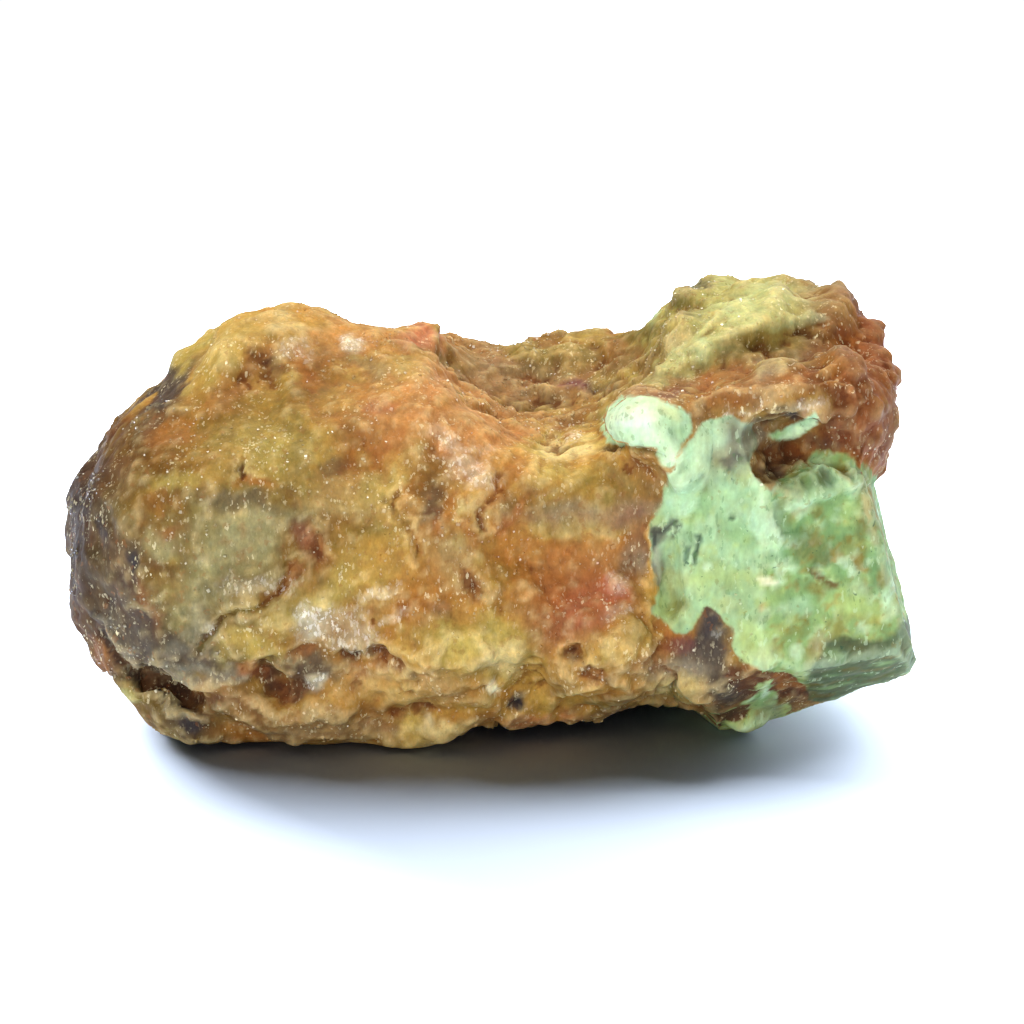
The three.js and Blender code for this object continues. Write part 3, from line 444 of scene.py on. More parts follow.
GREEN_MARKS = as_marks(
    # Nub and the strip along the lip
    ("mint", 15.4, 11, 7, 4.4, -6, 1.0, 0.2), ("milk", 15.2, 11.4, 4.4, 2.4, -6, 1.0, 0.4),
    ("pearl", 14.2, 11, 2.6, 1.3, -6, 0.8), ("leaf", 19.4, 9.6, 1.2, 2.2, 10, 0.35),
    ("lichen", 18.6, 12, 1.8, 0.6, -24, 0.6), ("milk", 18.4, 6.8, 1.2, 2, 0, 0.7, 0.2),
    ("mint", 33.4, 9.8, 4, 2, 20, 0.9, 0.2), ("leaf", 31.4, 9, 1.6, 0.7, 20, 0.7),
    # West face
    ("milk", 23, 7.6, 3, 1.4, 30, 0.5), ("mint", 21.4, 4, 1.8, 4.4, -32, 0.9, 0.1),
    ("leaf", 22.6, 0.6, 0.7, 3.4, -36, 0.6, -0.1), ("ash", 27.2, 9, 2.4, 2.4, 30, 0.85),
    ("umber", 27.4, 9.4, 1.8, 1, 20, 0.4), ("ash", 26, 6.6, 2, 1.6, 0, 0.5),
    ("slate", 26.6, 6.2, 1.4, 0.8, 20, 0.75), ("teal", 26.1, 5, 0.35, 0.4, 0, 0.8),
    ("teal", 26.2, -0.6, 0.3, 0.4, 0, 0.9, -0.1), ("leaf", 26, -2, 2, 1.4, 0, 0.5),
    ("leaf", 27.4, -3, 1.8, 1.2, 0, 0.45), ("teal", 20.8, -4.2, 1.2, 1.6, 0, 0.25),
    ("mint", 30, -2, 1.2, 3.4, 24, 0.7, 0.1), ("ash", 17.2, -2.6, 0.9, 1.4, -20, 0.6),
    ("lichen", 19, -7.8, 2.2, 1.4, 0, 0.5), ("lime", 25, -7.6, 5, 1.4, 0, 0.5),
    ("frost", 30.2, -8, 1.2, 0.5, -20, 0.8, 0.1), ("milk", 23.2, -6.8, 0.5, 0.4, 0, 0.7),
    ("olive", 19.6, -11.2, 1.6, 1.1, 20, 0.6), ("lime", 18.2, -10.6, 1, 2, 0, 0.5),
    ("lichen", 25.6, -10.8, 1.2, 0.8, 0, 0.55), ("honey", 29.7, -11.4, 0.5, 0.4, 0, 0.8),
    ("milk", 30, -11.7, 0.35, 0.3, 0, 0.8),
    # East face
    ("fern", 33.2, -0.6, 1.4, 2.6, 24, 0.6, -0.15), ("milk", 34.6, 0.6, 1.4, 0.7, 0, 0.4),
    ("fern", 36.4, -2.6, 3, 2.2, 0, 0.4), ("mint", 36.4, 6, 1.4, 1, 30, 0.6, 0.2),
    ("fern", 36.8, 3.2, 1.8, 1.4, 0, 0.6, -0.1), ("teal", 37.6, 3.6, 0.7, 0.8, 0, 0.9, -0.3),
    ("olive", 39.2, 5, 1.1, 1.2, 0, 0.8, -0.1), ("mint", 40.8, 5, 0.6, 1.4, 10, 0.7, 0.2),
    ("lime", 39.6, -0.4, 2, 1.2, 0, 0.5), ("moss", 35.4, -4.4, 2.4, 1.4, -20, 0.4),
    ("olive", 36, -9.4, 1.6, 0.8, 0, 0.6), ("olive", 42.6, 1.6, 1.8, 3.4, 10, 0.5),
    ("moss", 41.6, -1.8, 1, 1.6, 0, 0.45, -0.1), ("olive", 40, -4.8, 2.4, 1.6, 0, 0.4),
    ("milk", 40.4, 2.6, 1.2, 1, 20, 0.35), ("leaf", 38, 1, 2, 1.6, 0, 0.4),
    ("mint", 41, -9, 1.6, 1, 0, 0.5), ("olive", 41.1, -6, 0.6, 1, 0, 0.8),
    ("olive", 43.4, -3, 0.6, 1.3, 10, 0.8), ("olive", 44.2, -7.4, 0.6, 1.4, 0, 0.7),
    ("gold", 42.4, 1, 0.6, 1.6, 10, 0.6), ("olive", 42.4, -12.6, 2, 0.7, 0, 0.7),
    ("olive", 39.6, -12.4, 1.2, 0.8, 0, 0.5), ("milk", 44.8, -11.4, 1, 1.4, 0, 0.5),
    # Low part
    ("mint", 33.6, -11.6, 2.4, 1, 0, 0.5), ("fern", 34, -14.6, 1.8, 0.9, 0, 0.5),
    ("milk", 33.6, -16.6, 0.9, 0.9, 0, 0.6), ("lichen", 30.4, -17.4, 1.8, 1.4, 0, 0.6),
    ("tan", 35.8, -17.4, 1, 1.8, -20, 0.5), ("lime", 28.6, -15, 1.4, 2, 0, 0.6),
    ("olive", 32.4, -13.8, 1.6, 0.6, 0, 0.4),
    # Tip
    ("leaf", 30, -22, 1.2, 1.8, 20, 0.7), ("milk", 29.9, -21.4, 0.4, 0.6, 0, 0.7),
    ("mint", 28.8, -25, 2.2, 0.5, 18, 0.7), ("olive", 27.6, -26.8, 3.4, 0.9, 10, 0.8),
    ("umber", 36.4, -21.8, 1.6, 0.7, 0, 0.5), ("fern", 36.4, 3.6, 4.2, 2.4, 0, 0.3, 0.7),
    ("leaf", 36.2, 4.2, 3.4, 1.3, -8, 0.3, 0.6), ("jade", 36.6, 4.2, 0.9, 1, 0, 0.8),
    ("moss", 39, 4.6, 1.2, 1, 0, 0.6), ("lime", 41.3, -11.4, 3, 2, 0, 0.75),
    ("milk", 34.6, 9.4, 2.4, 0.5, 22, 0.6), ("ash", 24.6, 5.2, 3, 2.4, 0, 0.35),
    ("slate", 17.2, -7, 0.7, 2.2, 5, 0.7), ("ash", 31, -23.4, 3, 1.2, 20, 0.45),
    ("smoke", 32.6, -22.4, 1.4, 1, 20, 0.4),
)

# Broad colour of the crust: a place in shares of the half length, half depth and height, and a reach.
Zone = namedtuple("Zone", "colour x y z reach")

ZONES = [Zone(*row) for row in (
    ("olive", -0.56, -0.62, 0.58, 0.30), ("gold", -0.56, -0.15, 0.98, 0.26),
    ("honey", -0.30, -0.50, 0.75, 0.24), ("smoke", -0.94, -0.20, 0.42, 0.20),
    ("brown", -0.90, -0.10, 0.62, 0.16), ("moss", -0.68, -0.70, 0.28, 0.22),
    ("brown", -0.74, -0.40, 0.02, 0.22), ("honey", -0.34, -0.80, 0.36, 0.22),
    ("peach", -0.12, -0.55, 0.78, 0.24), ("tan", 0.04, 0.10, 0.78, 0.20),
    ("honey", 0.24, -0.62, 0.58, 0.22), ("ochre", 0.28, -0.66, 0.38, 0.18),
    ("honey", -0.02, -0.66, 0.20, 0.24), ("straw", 0.16, -0.66, 0.16, 0.18),
    ("smoke", 0.54, -0.55, 0.16, 0.14), ("crown", 0.48, 0.12, 0.98, 0.24),
    ("crown", 0.66, 0.10, 0.98, 0.18), ("brown", 0.62, -0.30, 0.78, 0.18),
    ("ochre", 0.88, 0.10, 0.80, 0.18), ("rust", 0.92, 0.20, 0.62, 0.18),
    ("brown", 0.90, 0.50, 0.50, 0.22), ("honey", -0.60, 0.70, 0.66, 0.28),
    ("straw", -0.40, 0.80, 0.44, 0.22), ("smoke", -0.80, 0.60, 0.24, 0.22),
    ("peach", -0.12, 0.72, 0.62, 0.22), ("ochre", 0.12, 0.80, 0.40, 0.22),
    ("olive", 0.30, 0.80, 0.62, 0.20), ("tan", 0.50, 0.86, 0.34, 0.22),
    ("crown", 0.60, 0.70, 0.86, 0.20), ("brown", -0.20, 0.60, 0.08, 0.26),
    ("umber", 0.10, 0.00, 0.02, 0.26), ("brown", -0.40, 0.00, 0.00, 0.26),
)]

OTHER_MARKS = {
    "back": as_marks(
        ("straw", 26, 6, 6, 5, 10, 0.7, 0.2), ("sage", 33, -2, 5, 4, -10, 0.6),
        ("ochre", 20, 12, 4, 2.4, 20, 0.7), ("rust", 14, 2, 2, 3, 30, 0.85, -0.5),
        ("dark_rust", 13, 0.5, 1, 1.4, 0, 0.9, -0.4), ("frost", 8, -4, 4, 2.4, 20, 0.5),
        ("peach", 2, 8, 7, 4, -5, 0.6), ("rose", -4, 12, 3, 1.6, 10, 0.5),
        ("ochre", -6, -2, 5, 4, 0, 0.6), ("rust", -10, -8, 4, 2.6, 20, 0.5, -0.3),
        ("crown", -24, 20, 8, 4, -15, 0.7), ("lichen", -28, 22, 5, 2, -10, 0.6),
        ("mint", -19, 18, 1.4, 1, 0, 0.7), ("leaf", -30, -8, 6, 5, 10, 0.5),
        ("mint", -27, -12, 3, 2, 0, 0.6), ("smoke", 42, -4, 4, 9, 0, 0.6),
        ("slate", 30, -16, 5, 2, 0, 0.6), ("umber", 4, -18, 9, 2, 0, 0.6, -0.3),
        ("gold", 22, -12, 6, 2.6, 10, 0.6, 0.3), ("straw", -16, 4, 4, 5, 20, 0.6, 0.2),
        ("dark_rust", -20, -2, 1.6, 2.4, -20, 0.8, -0.5), ("olive", 34, 10, 5, 4, 20, 0.5),
        ("slate", -38, 2, 1.6, 2, 0, 0.6), ("rust", -38, 8, 5, 6, 0, 0.5),
    ),
    "west": as_marks(
        ("smoke", 0, -4, 9, 6, 0, 0.5), ("rust", 6, -2, 2.4, 3, 20, 0.6, -0.2),
        ("slate", -4, -8, 2, 4, 20, 0.6), ("ochre", 4, 8, 4, 2.4, 0, 0.6),
        ("straw", -6, 12, 4, 2, 20, 0.6), ("umber", 2, -19, 9, 2, 0, 0.7, -0.3),
    ),
    "east": as_marks(
        ("rust", 4, 12, 6, 5, 0, 0.6), ("dark_rust", 2, 9, 2, 1.4, 0, 0.7, -0.3),
        ("gold", -3, 15, 2, 2, 0, 0.6, 0.2),
    ),
    "top": as_marks(
        ("ochre", -28, 4, 3, 2, 20, 0.7), ("straw", -34, -4, 5, 3, 30, 0.6),
        ("rust", -22, 8, 2, 1.6, 0, 0.8, -0.4), ("rose", -11, 12, 3, 2, 0, 0.7, 0.1),
        ("umber", 2, 6, 4, 2, 0, 0.5, -0.3), ("olive", 5, 14, 5, 2.4, 0, 0.7),
        ("crown", 26, 12, 8, 4, 20, 0.6), ("lichen", 30, 4, 5, 2, 20, 0.6),
        ("mint", 22, 14, 2, 1, 30, 0.7),
    ),
    "under": as_marks(
        ("smoke", -20, 2, 8, 5, 0, 0.5), ("tan", -6, -6, 6, 4, 0, 0.5),
        ("rust", 4, 6, 4, 3, 20, 0.6, -0.3), ("slate", 14, 0, 5, 4, 0, 0.6),
        ("straw", -30, 4, 5, 3, 0, 0.5),
    ),
}

# A flat cleavage face of the green stone: which way it looks, a point on it in shares of the size, and a
# tint with its strength, partly the face's own colour and partly painted light and shade.
Cleavage = namedtuple("Cleavage", "toward through tint amount", defaults=(None, 0))

CLEAVAGES = {
    "west": Cleavage((-0.30, -0.94, 0.14), (0.311, -0.447, 0.554), "mint", 0.7),
    "east": Cleavage((0.26, -0.955, 0.14), (0.311, -0.447, 0.554), "fern", 0.2),
    "heel": Cleavage((0.227, -0.617, -0.753), (0.393, -0.446, 0.257)),
    "end": Cleavage((0.957, -0.051, 0.286), (0.501, -0.020, 0.222), "fern", 0.3),
    "sole": Cleavage((0.375, 0.099, -0.922), (0.311, -0.223, 0.0), "moss", 0.5),
    "keel": Cleavage((-0.718, -0.301, -0.628), (0.270, -0.325, 0.060)),
}

# Clouds of one colour over the crust or the green stone: how strong they are, their width in millimetres,
# the seed, layers and keep of their noise, where in the noise they begin and are full, and how much of
# them the calm west face is spared.
Cloud = namedtuple("Cloud", "colour amount span seed layers keep start end spared", defaults=(0,))

CRUST_CLOUDS = [
    Cloud("olive", 0.35, 5, 60, 4, 0.6, 0.0, 0.8),
    Cloud("ochre", 0.40, 4, 61, 4, 0.6, 0.2, 0.9),
    Cloud("straw", 0.50, 3, 62, 4, 0.7, 0.1, 0.9),
    Cloud("frost", 0.14, 1.6, 70, 3, 0.7, 0.3, 1.0),
]

GREEN_CLOUDS = [
    Cloud("fern", 0.65, 2.6, 64, 4, 0.7, 0.0, 0.9, 0.75),
    Cloud("milk", 0.60, 1.7, 63, 3, 0.7, 0.15, 0.8, 0.75),
    Cloud("olive", 0.60, 1.5, 71, 4, 0.8, 0.2, 0.85, 0.75),
    Cloud("lime", 0.50, 1.1, 72, 3, 0.8, 0.2, 0.8),
    Cloud("honey", 0.55, 1.0, 66, 3, 0.7, 0.45, 0.95, 0.75),
]


# ---------------------------------------------------------------------------------------------
# The skin: a fine mesh over the solid, and what is known at each of its points
# ---------------------------------------------------------------------------------------------

SMOOTHING_ROUNDS = 10
FEWEST_POINTS = 1000  # fewer than this means that the remeshing failed


def fine_copy(solid, name, span):
    """A closed, even and smooth mesh over the solid, with points about one span apart."""
    rough = bpy.data.objects.new(name + "_rough", solid.data.copy())
    bpy.context.scene.collection.objects.link(rough)
    weld = rough.modifiers.new("weld", "WELD")
    weld.merge_threshold = 0.01 * MM
    rounding = rough.modifiers.new("rounding", "SUBSURF")
    rounding.levels = 1
    rounding.render_levels = 1
    even = rough.modifiers.new("even", "REMESH")
    even.mode = "VOXEL"
    even.voxel_size = span
    smooth = rough.modifiers.new("smooth", "SMOOTH")
    smooth.factor = 0.5
    smooth.iterations = SMOOTHING_ROUNDS
    graph = bpy.context.evaluated_depsgraph_get()
    mesh = bpy.data.meshes.new_from_object(rough.evaluated_get(graph))
    bpy.data.objects.remove(rough)
    mesh.name = name
    mesh.materials.clear()
    if len(mesh.vertices) < FEWEST_POINTS:
        raise RuntimeError(f"{name}: the fine mesh is empty")
    return mesh


def read(items, field, width=1, kind=float):
    """One field of all the items of a mesh, with a row for each item where it is wider than 1."""
    values = np.empty(len(items) * width, kind)
    items.foreach_get(field, values)
    return values.reshape(-1, width) if width > 1 else values


def store(mesh, name, values):
    """Keeps one number or colour for every point of the mesh under a name."""
    if values.ndim == 1:
        layer = mesh.attributes.new(name, "FLOAT", "POINT")
        layer.data.foreach_set("value", values.astype(np.float32))
        return
    layer = mesh.attributes.new(name, "FLOAT_COLOR", "POINT")
    filled = np.concatenate([values, np.ones((len(values), 1))], axis=1)
    layer.data.foreach_set("color", filled.astype(np.float32).ravel())


class View:
    """Where every point of the skin lies as seen from one side, in hundredths of the length."""

    def __init__(self, skin, azimuth, elevation):
        turn = math.radians(azimuth)
        rise = math.radians(elevation)
        back = np.array([math.sin(turn) * math.cos(rise), -math.cos(turn) * math.cos(rise), math.sin(rise)])
        right = np.array([math.cos(turn), math.sin(turn), 0.0])
        upward = np.cross(back, right)
        offset = skin.points - (AIM + back * REACH)
        self.depth = -offset @ back
        self.across = (offset @ right) / self.depth * REACH / UNIT
        self.up = (offset @ upward) / self.depth * REACH / UNIT
        sight = offset / np.linalg.norm(offset, axis=1, keepdims=True)
        self.facing = -np.sum(sight * skin.normals, axis=1)
        self.ragged = skin.ragged
        self.grit = skin.grit

    def place(self, wander, grit=1.0):
        """Each point's place, thrown off by the given shares of the broad and the fine raggedness."""
        return np.stack([self.across, self.up], axis=1) + wander * self.ragged + grit * self.grit

    def surface_depth(self, across, up):
        """How deep the nearest surface lies at one place of the view."""
        for reach in (0.8, 1.6, 3.2, 6.4):
            near = (np.abs(self.across - across) < reach) & (np.abs(self.up - up) < reach)
            near &= self.facing > 0.05
            if near.any():
                return self.depth[near].min()
        return self.depth.min()

    def in_reach(self, depth, reach):
        """1 near the given depth on the side that faces the eye, fading to 0 behind it."""
        close = ramp(np.abs(self.depth - depth), reach + 1.5, reach)
        return close * ramp(self.facing, -0.25, 0.1)

    def oval(self, mark, fade=None):
        """How much each point belongs to the mark, from 0 to 1."""
        turn = math.radians(mark.turn)
        small = min(mark.wide, mark.high)
        large = max(mark.wide, mark.high)
        fade = fade or min(0.9, 0.3 + 0.15 * small)
        place = self.place(min(1.0, 0.3 * large), min(1.2, 0.5 + 0.4 * small))
        side = place[:, 0] - mark.across
        rise = place[:, 1] - mark.up
        along = (side * math.cos(turn) + rise * math.sin(turn)) / mark.wide
        over = (rise * math.cos(turn) - side * math.sin(turn)) / mark.high
        inside = ramp(np.hypot(along, over), 1 + fade, 1 - fade)
        depth = self.surface_depth(mark.across, mark.up)
        return inside * self.in_reach(depth, 3 + 1.2 * UNIT * large)

    def line(self, seam):
        """How much each point belongs to the seam, from 0 to 1."""
        total = np.zeros(len(self.across))
        place = self.place(min(0.6, seam.width), min(1.0, 2 * seam.width))
        for start, end in zip(seam.points, seam.points[1:]):
            gap = distance_to_line(place, start, end)
            depth = self.surface_depth(*((np.array(start) + np.array(end)) / 2))
            inside = ramp(gap, seam.width * 1.5, seam.width * 0.4) * self.in_reach(depth, 4)
            total = np.maximum(total, inside)
        return total

    def cover(self, mark):
        """How much each point belongs to a mark or a seam, from 0 to 1."""
        return self.line(mark) if isinstance(mark, Seam) else self.oval(mark)

    def within(self, outline, wander, grit=1.0):
        """The signed distance inside a closed outline, in hundredths of the length."""
        place = self.place(wander, grit)
        gap = np.full(len(place), 99.0)
        inside = np.zeros(len(place), bool)
        for start, end in zip(outline, outline[1:] + outline[:1]):
            gap = np.minimum(gap, distance_to_line(place, start, end))
            level = (start[1] > place[:, 1]) != (end[1] > place[:, 1])
            rise = end[1] - start[1] if end[1] != start[1] else 1e-9
            cross = start[0] + (place[:, 1] - start[1]) * (end[0] - start[0]) / rise
            inside ^= level & (place[:, 0] < cross)
        return np.where(inside, gap, -gap)


def distance_to_line(place, start, end):
    """How far each place is from the straight line between two points."""
    start = np.array(start, float)
    run = np.array(end, float) - start
    share = np.clip((place - start) @ run / (run @ run), 0, 1)
    return np.linalg.norm(place - start - share[:, None] * run, axis=1)


class Skin:
    """The points of the fine mesh in millimetres, with what is known at each of them."""

    def __init__(self, mesh):
        self.mesh = mesh
        self.points = read(mesh.vertices, "co", 3) / MM
        pairs = read(mesh.edges, "vertices", 2, np.int64)
        self.starts = np.concatenate([pairs[:, 0], pairs[:, 1]])
        self.ends = np.concatenate([pairs[:, 1], pairs[:, 0]])
        self.joined = np.maximum(np.bincount(self.starts, minlength=len(self.points)), 1)
        self.ragged = np.stack([1.5 * layered(self.points, 3.2, 40 + k, 3, 0.6) for k in (0, 1)], axis=1)
        self.grit = np.stack([0.45 * layered(self.points, 1.0, 44 + k, 2, 0.6) for k in (0, 1)], axis=1)
        self.update()

    def update(self):
        """Writes the points to the mesh, and works the normals and the views out again."""
        self.mesh.vertices.foreach_set("co", (self.points * MM).ravel())
        self.mesh.update()
        self.normals = read(self.mesh.vertex_normals, "vector", 3)
        self.views = {side: View(self, *angles) for side, angles in SIDES.items()}

    def averaged(self, values, rounds):
        """The values, each mixed with its neighbours' a number of times."""
        for _ in range(rounds):
            columns = [np.bincount(self.starts, column[self.ends], len(values)) for column in values.T]
            values = 0.5 * values + 0.5 * np.stack(columns, axis=1) / self.joined[:, None]
        return values

    def hollow(self, rounds):
        """How far each point lies below its smoothed surroundings, in millimetres. Edges are below 0."""
        return np.sum((self.averaged(self.points, rounds) - self.points) * self.normals, axis=1)

    def share(self):
        """The points in shares of the half length, half depth and height."""
        return (self.points - FOOT) / (SIZE * np.array([0.5, 0.5, 1.0]))

    def ragged_cells(self, span, seed, sway, order):
        """The cells around the points, with borders that sway by a share of the broad raggedness."""
        return cells(self.points + sway * self.ragged[:, order], span, seed)


# ---------------------------------------------------------------------------------------------
# The relief
# ---------------------------------------------------------------------------------------------


def cleavage_gaps(points):
    """How far outside each cleavage face the points lie, in millimetres, and which way the faces look."""
    gaps = []
    ways = []
    for cleavage in CLEAVAGES.values():
        toward = np.array(cleavage.toward)
        toward = toward / np.linalg.norm(toward)
        through = FOOT + np.array(cleavage.through) * SIZE
        gaps.append((points - through) @ toward)
        ways.append(toward)
    return np.array(gaps), np.array(ways)


def cut_cleavages(skin):
    """Brings the green stone's points onto its flat cleavage faces, and returns how much each was held."""
    gaps, ways = cleavage_gaps(skin.points)
    skin.face = gaps.argmax(axis=0)
    gap = gaps.max(axis=0)
    toward = ways[skin.face]
    aligned = np.sum(toward * skin.normals, axis=1)
    held = ramp(np.abs(gap), 1.1, 0.5) * ramp(aligned, 0.55, 0.85) * ramp(skin.points[:, 0], 4, 8)
    skin.points -= (held * gap)[:, None] * toward
    return held


def green_reach(skin):
    """How far inside the green stone each point is, in hundredths of the length, below 0 outside it."""
    front = skin.views["front"]
    shapes = ((GREEN_OUTLINE, 0.35, 0.7), (PALE_NUB, 0.1, 0.2), (LIP_EDGE, 0.1, 0.4), (GREEN_TIP, 0.6, 1))
    outline = np.max([front.within(*shape) for shape in shapes], axis=0)
    outline = np.where(front.depth < REACH + 9, outline, -6)
    gaps, _ = cleavage_gaps(skin.points)
    height = (0.62 - skin.share()[:, 2]) * 12
    block = np.minimum(np.minimum(1.4 + gaps.max(axis=0), 6), height) + skin.ragged[:, 0]
    block = np.minimum(block, (skin.points[:, 0] - 9) * 0.8)
    block = np.minimum(block, (4.5 - skin.points[:, 1]) * 0.8 + skin.ragged[:, 1])
    seen = ramp(front.facing, 0.0, 0.2)
    return outline * seen + block * (1 - seen)


def press(lift, pit, view, marks, sinking=1.0):
    """Adds the push of the marks to the lift, and notes in pit how deep in a sunk mark each point is."""
    for mark in marks:
        if mark.push:
            inside = view.oval(mark, 0.5)
            lift += mark.push * (1.0 if mark.push > 0 else sinking) * inside
            np.maximum(pit, inside * ramp(-mark.push, 0.1, 0.4), out=pit)


# The parts of the stone: green is the green stone, crust the rest, drusy the sugary crust, calm and rocky
# say how far lumps and cobbles may stand out there, and unseen is what doesn't face the front.
Parts = namedtuple("Parts", "green crust lobe crown dome rim knobby drusy nub calm rocky unseen")


def find_parts(skin, held):
    """Where the parts of the stone are, from 0 to 1 at every point. Held points lie on cleavage faces."""
    front = skin.views["front"]
    east, back, up = skin.share().T
    green = ramp(green_reach(skin), -0.8, 0.8)
    crust = 1 - green
    lobe = ramp(east, 0.66, 0.8) * ramp(up, 0.45, 0.6)
    saddle = np.exp(-(((east - 0.04) / 0.2) ** 2)) * ramp(up, 0.6, 0.75) * ramp(back, -0.5, 0.0)
    crown = ramp(east, 0.2, 0.34) * ramp(up, 0.84, 0.93)
    dome = ramp(east, -0.12, -0.4)
    rim = ramp(east, -0.74, -0.9)
    knobby = ramp(up, 0.44, 0.30) * ramp(east, -0.7, -0.4) * crust
    patches = ramp(noise(skin.points, 9, 3), 0.1, 0.5)
    drusy = np.clip(0.4 * lobe + 0.7 * saddle + 0.3 * patches, 0, 1) * crust
    nub = ramp(front.within(PALE_NUB, 0.1, 0.2), -0.9, 0.6) * ramp(front.facing, -0.2, 0.1)
    calm = (1 - 0.72 * np.maximum(green, held)) * (1 - 0.9 * nub)
    rocky = (1 - np.maximum(green, held)) * (1 - 0.4 * dome)
    unseen = ramp(front.facing, 0.25, -0.1)
    return Parts(green, crust, lobe, crown, dome, rim, knobby, drusy, nub, calm, rocky, unseen)


def add_lumps(lift, points, parts):
    """Raises and sinks soft lumps, from broad to fine."""
    lift += parts.calm * (0.30 * noise(points, 5.2, 1) + 0.24 * noise(points, 2.7, 2))
    fine = 0.20 * noise(points, 1.35, 4) + 0.12 * noise(points, 0.75, 5)
    lift += parts.calm * (1 - 0.3 * parts.dome) * (0.6 + 0.5 * parts.drusy) * fine
    lift += 0.04 * (1 - parts.nub) * noise(points, 0.5, 6)
    lift += parts.rim * 0.35 * noise(points, 3.4, 18)


def add_sugar(lift, skin, parts):
    """Raises sugary knobs and grit and sinks small pits. Returns the grit."""
    nearest, _, number = skin.ragged_cells(3.0, 19, 0.5, [1, 0, 0])
    lift += parts.lobe * parts.crust * 0.6 * (ramp(nearest, 0.8, 0.1) - 0.4) * (0.4 + 0.6 * number)
    nearest, _, number = skin.ragged_cells(1.9, 7, 0.5, [0, 1, 0])
    lift += parts.drusy * 0.5 * (ramp(nearest, 0.75, 0.0) - 0.45) * (0.4 + 0.6 * number)
    nearest, _, _ = cells(skin.points, 1.0, 17)
    grit = ramp(nearest, 0.7, 0.0) - 0.45
    lift += (0.2 + 0.8 * parts.drusy) * parts.crust * 0.20 * grit
    nearest, _, number = skin.ragged_cells(1.7, 37, 0.3, [0, 1, 1])
    skin.small_pits = (number < 0.10) * ramp(nearest, 0.34, 0.1)
    skin.small_pits = skin.small_pits * (1 - 0.6 * parts.green) * (1 - 0.6 * parts.dome) * (1 - parts.nub)
    lift -= 0.24 * skin.small_pits
    return grit


def add_cobbles(lift, skin, parts):
    """Raises large and small cobbles with gaps between them, less strongly on the front."""
    nearest, following, skin.kind = skin.ragged_cells(4.2, 47, 0.9, [0, 1, 0])
    large = ramp(following - nearest, 0.0, 0.5)
    lift += parts.rocky * (0.22 + 0.25 * parts.unseen + 0.16 * parts.knobby) * (large - 0.6)
    nearest, following, skin.small_kind = skin.ragged_cells(1.9, 57, 0.5, [1, 0, 1])
    small = ramp(following - nearest, 0.0, 0.5)
    lift += parts.rocky * (0.09 + 0.04 * parts.knobby) * (small - 0.6)
    skin.lump = np.clip(0.6 * large + 0.4 * small, 0, 1)


def add_ridges(lift, points, parts):
    """Raises the slanting ridges of the crown and the low steps of the green stone."""
    wavy = points @ np.array([0.55, 0.15, -0.82]) + 0.7 * noise(points, 4, 8)
    lift += parts.crown * 0.3 * np.sin(wavy * 2.1)
    steps = np.round(2.2 * noise(points, 3.4, 13))
    lift += parts.green * (1 - parts.nub) * (0.10 * noise(points, 1.9, 12) + 0.05 * steps)


def add_marks(lift, skin, parts, grit):
    """Raises and sinks the placed marks and seams, with more grit in the sunk ones."""
    front = skin.views["front"]
    pit = np.zeros(len(lift))
    press(lift, pit, front, FRONT_MARKS + GREEN_MARKS, 0.75)
    for seam in FRONT_SEAMS + GREEN_SEAMS:
        lift += seam.push * front.line(seam)
    for side, marks in OTHER_MARKS.items():
        press(lift, pit, skin.views[side], marks)
    skin.pit = pit * parts.crust
    lift += skin.pit * (0.30 * grit + 0.14 * noise(skin.points, 0.7, 15))


def shape_relief(skin, relief):
    """Gives the skin its relief, which fades out where the stone rests on the floor."""
    held = cut_cleavages(skin)
    skin.update()
    parts = find_parts(skin, held)
    lift = np.zeros(len(skin.points))
    add_lumps(lift, skin.points, parts)
    grit = add_sugar(lift, skin, parts)
    add_cobbles(lift, skin, parts)
    add_ridges(lift, skin.points, parts)
    add_marks(lift, skin, parts, grit)
    resting = ramp(skin.points[:, 2], 0.05, 0.8)
    skin.points = skin.points + (relief * lift * resting)[:, None] * skin.normals
    skin.points = np.clip(skin.points, LOW - 0.2 * SIDEWAYS, HIGH + 0.2)
    skin.update()
    skin.green = green_reach(skin)
    skin.sugar = parts.drusy
    skin.parts = parts


# ---------------------------------------------------------------------------------------------
# The colours of every point
# ---------------------------------------------------------------------------------------------


def mixed(base, colour, amount):
    """The base colours, with some of a palette colour laid over them."""
    return base + (linear(colour) - base) * amount[:, None]


def darkened(base, amount, tones=(1, 1, 1)):
    """The base colours made darker, with the given shares of the amount taken from red, green and blue."""
    return base * (1 - amount[:, None] * np.array(tones))


def clouded(base, points, clouds, calm=0.0):
    """The base colours with clouds of other colours over them."""
    for cloud in clouds:
        drift = layered(points, cloud.span, cloud.seed, cloud.layers, cloud.keep)
        amount = (1 - cloud.spared * calm) * cloud.amount * ramp(drift, cloud.start, cloud.end)
        base = mixed(base, cloud.colour, amount)
    return base


def marked(base, view, marks):
    """The base colours with the marks and seams of one view over them."""
    for mark in marks:
        base = mixed(base, mark.colour, mark.amount * view.cover(mark))
    return base


def broad_colour(skin):
    """Each point's colour from the zones around it."""
    drift = [layered(skin.points, 7, 50 + k, 3, 0.6) for k in range(3)]
    place = skin.share() + 0.10 * np.stack(drift, axis=1)
    total = np.zeros((len(place), 3))
    weights = np.full(len(place), 1e-9)
    for zone in ZONES:
        offset = (place - np.array([zone.x, zone.y, zone.z])) * np.array([1.0, 0.55, 0.55])
        weight = np.exp(-3.0 * np.linalg.norm(offset, axis=1) / zone.reach)
        total += weight[:, None] * linear(zone.colour)
        weights += weight
    return total / weights[:, None]


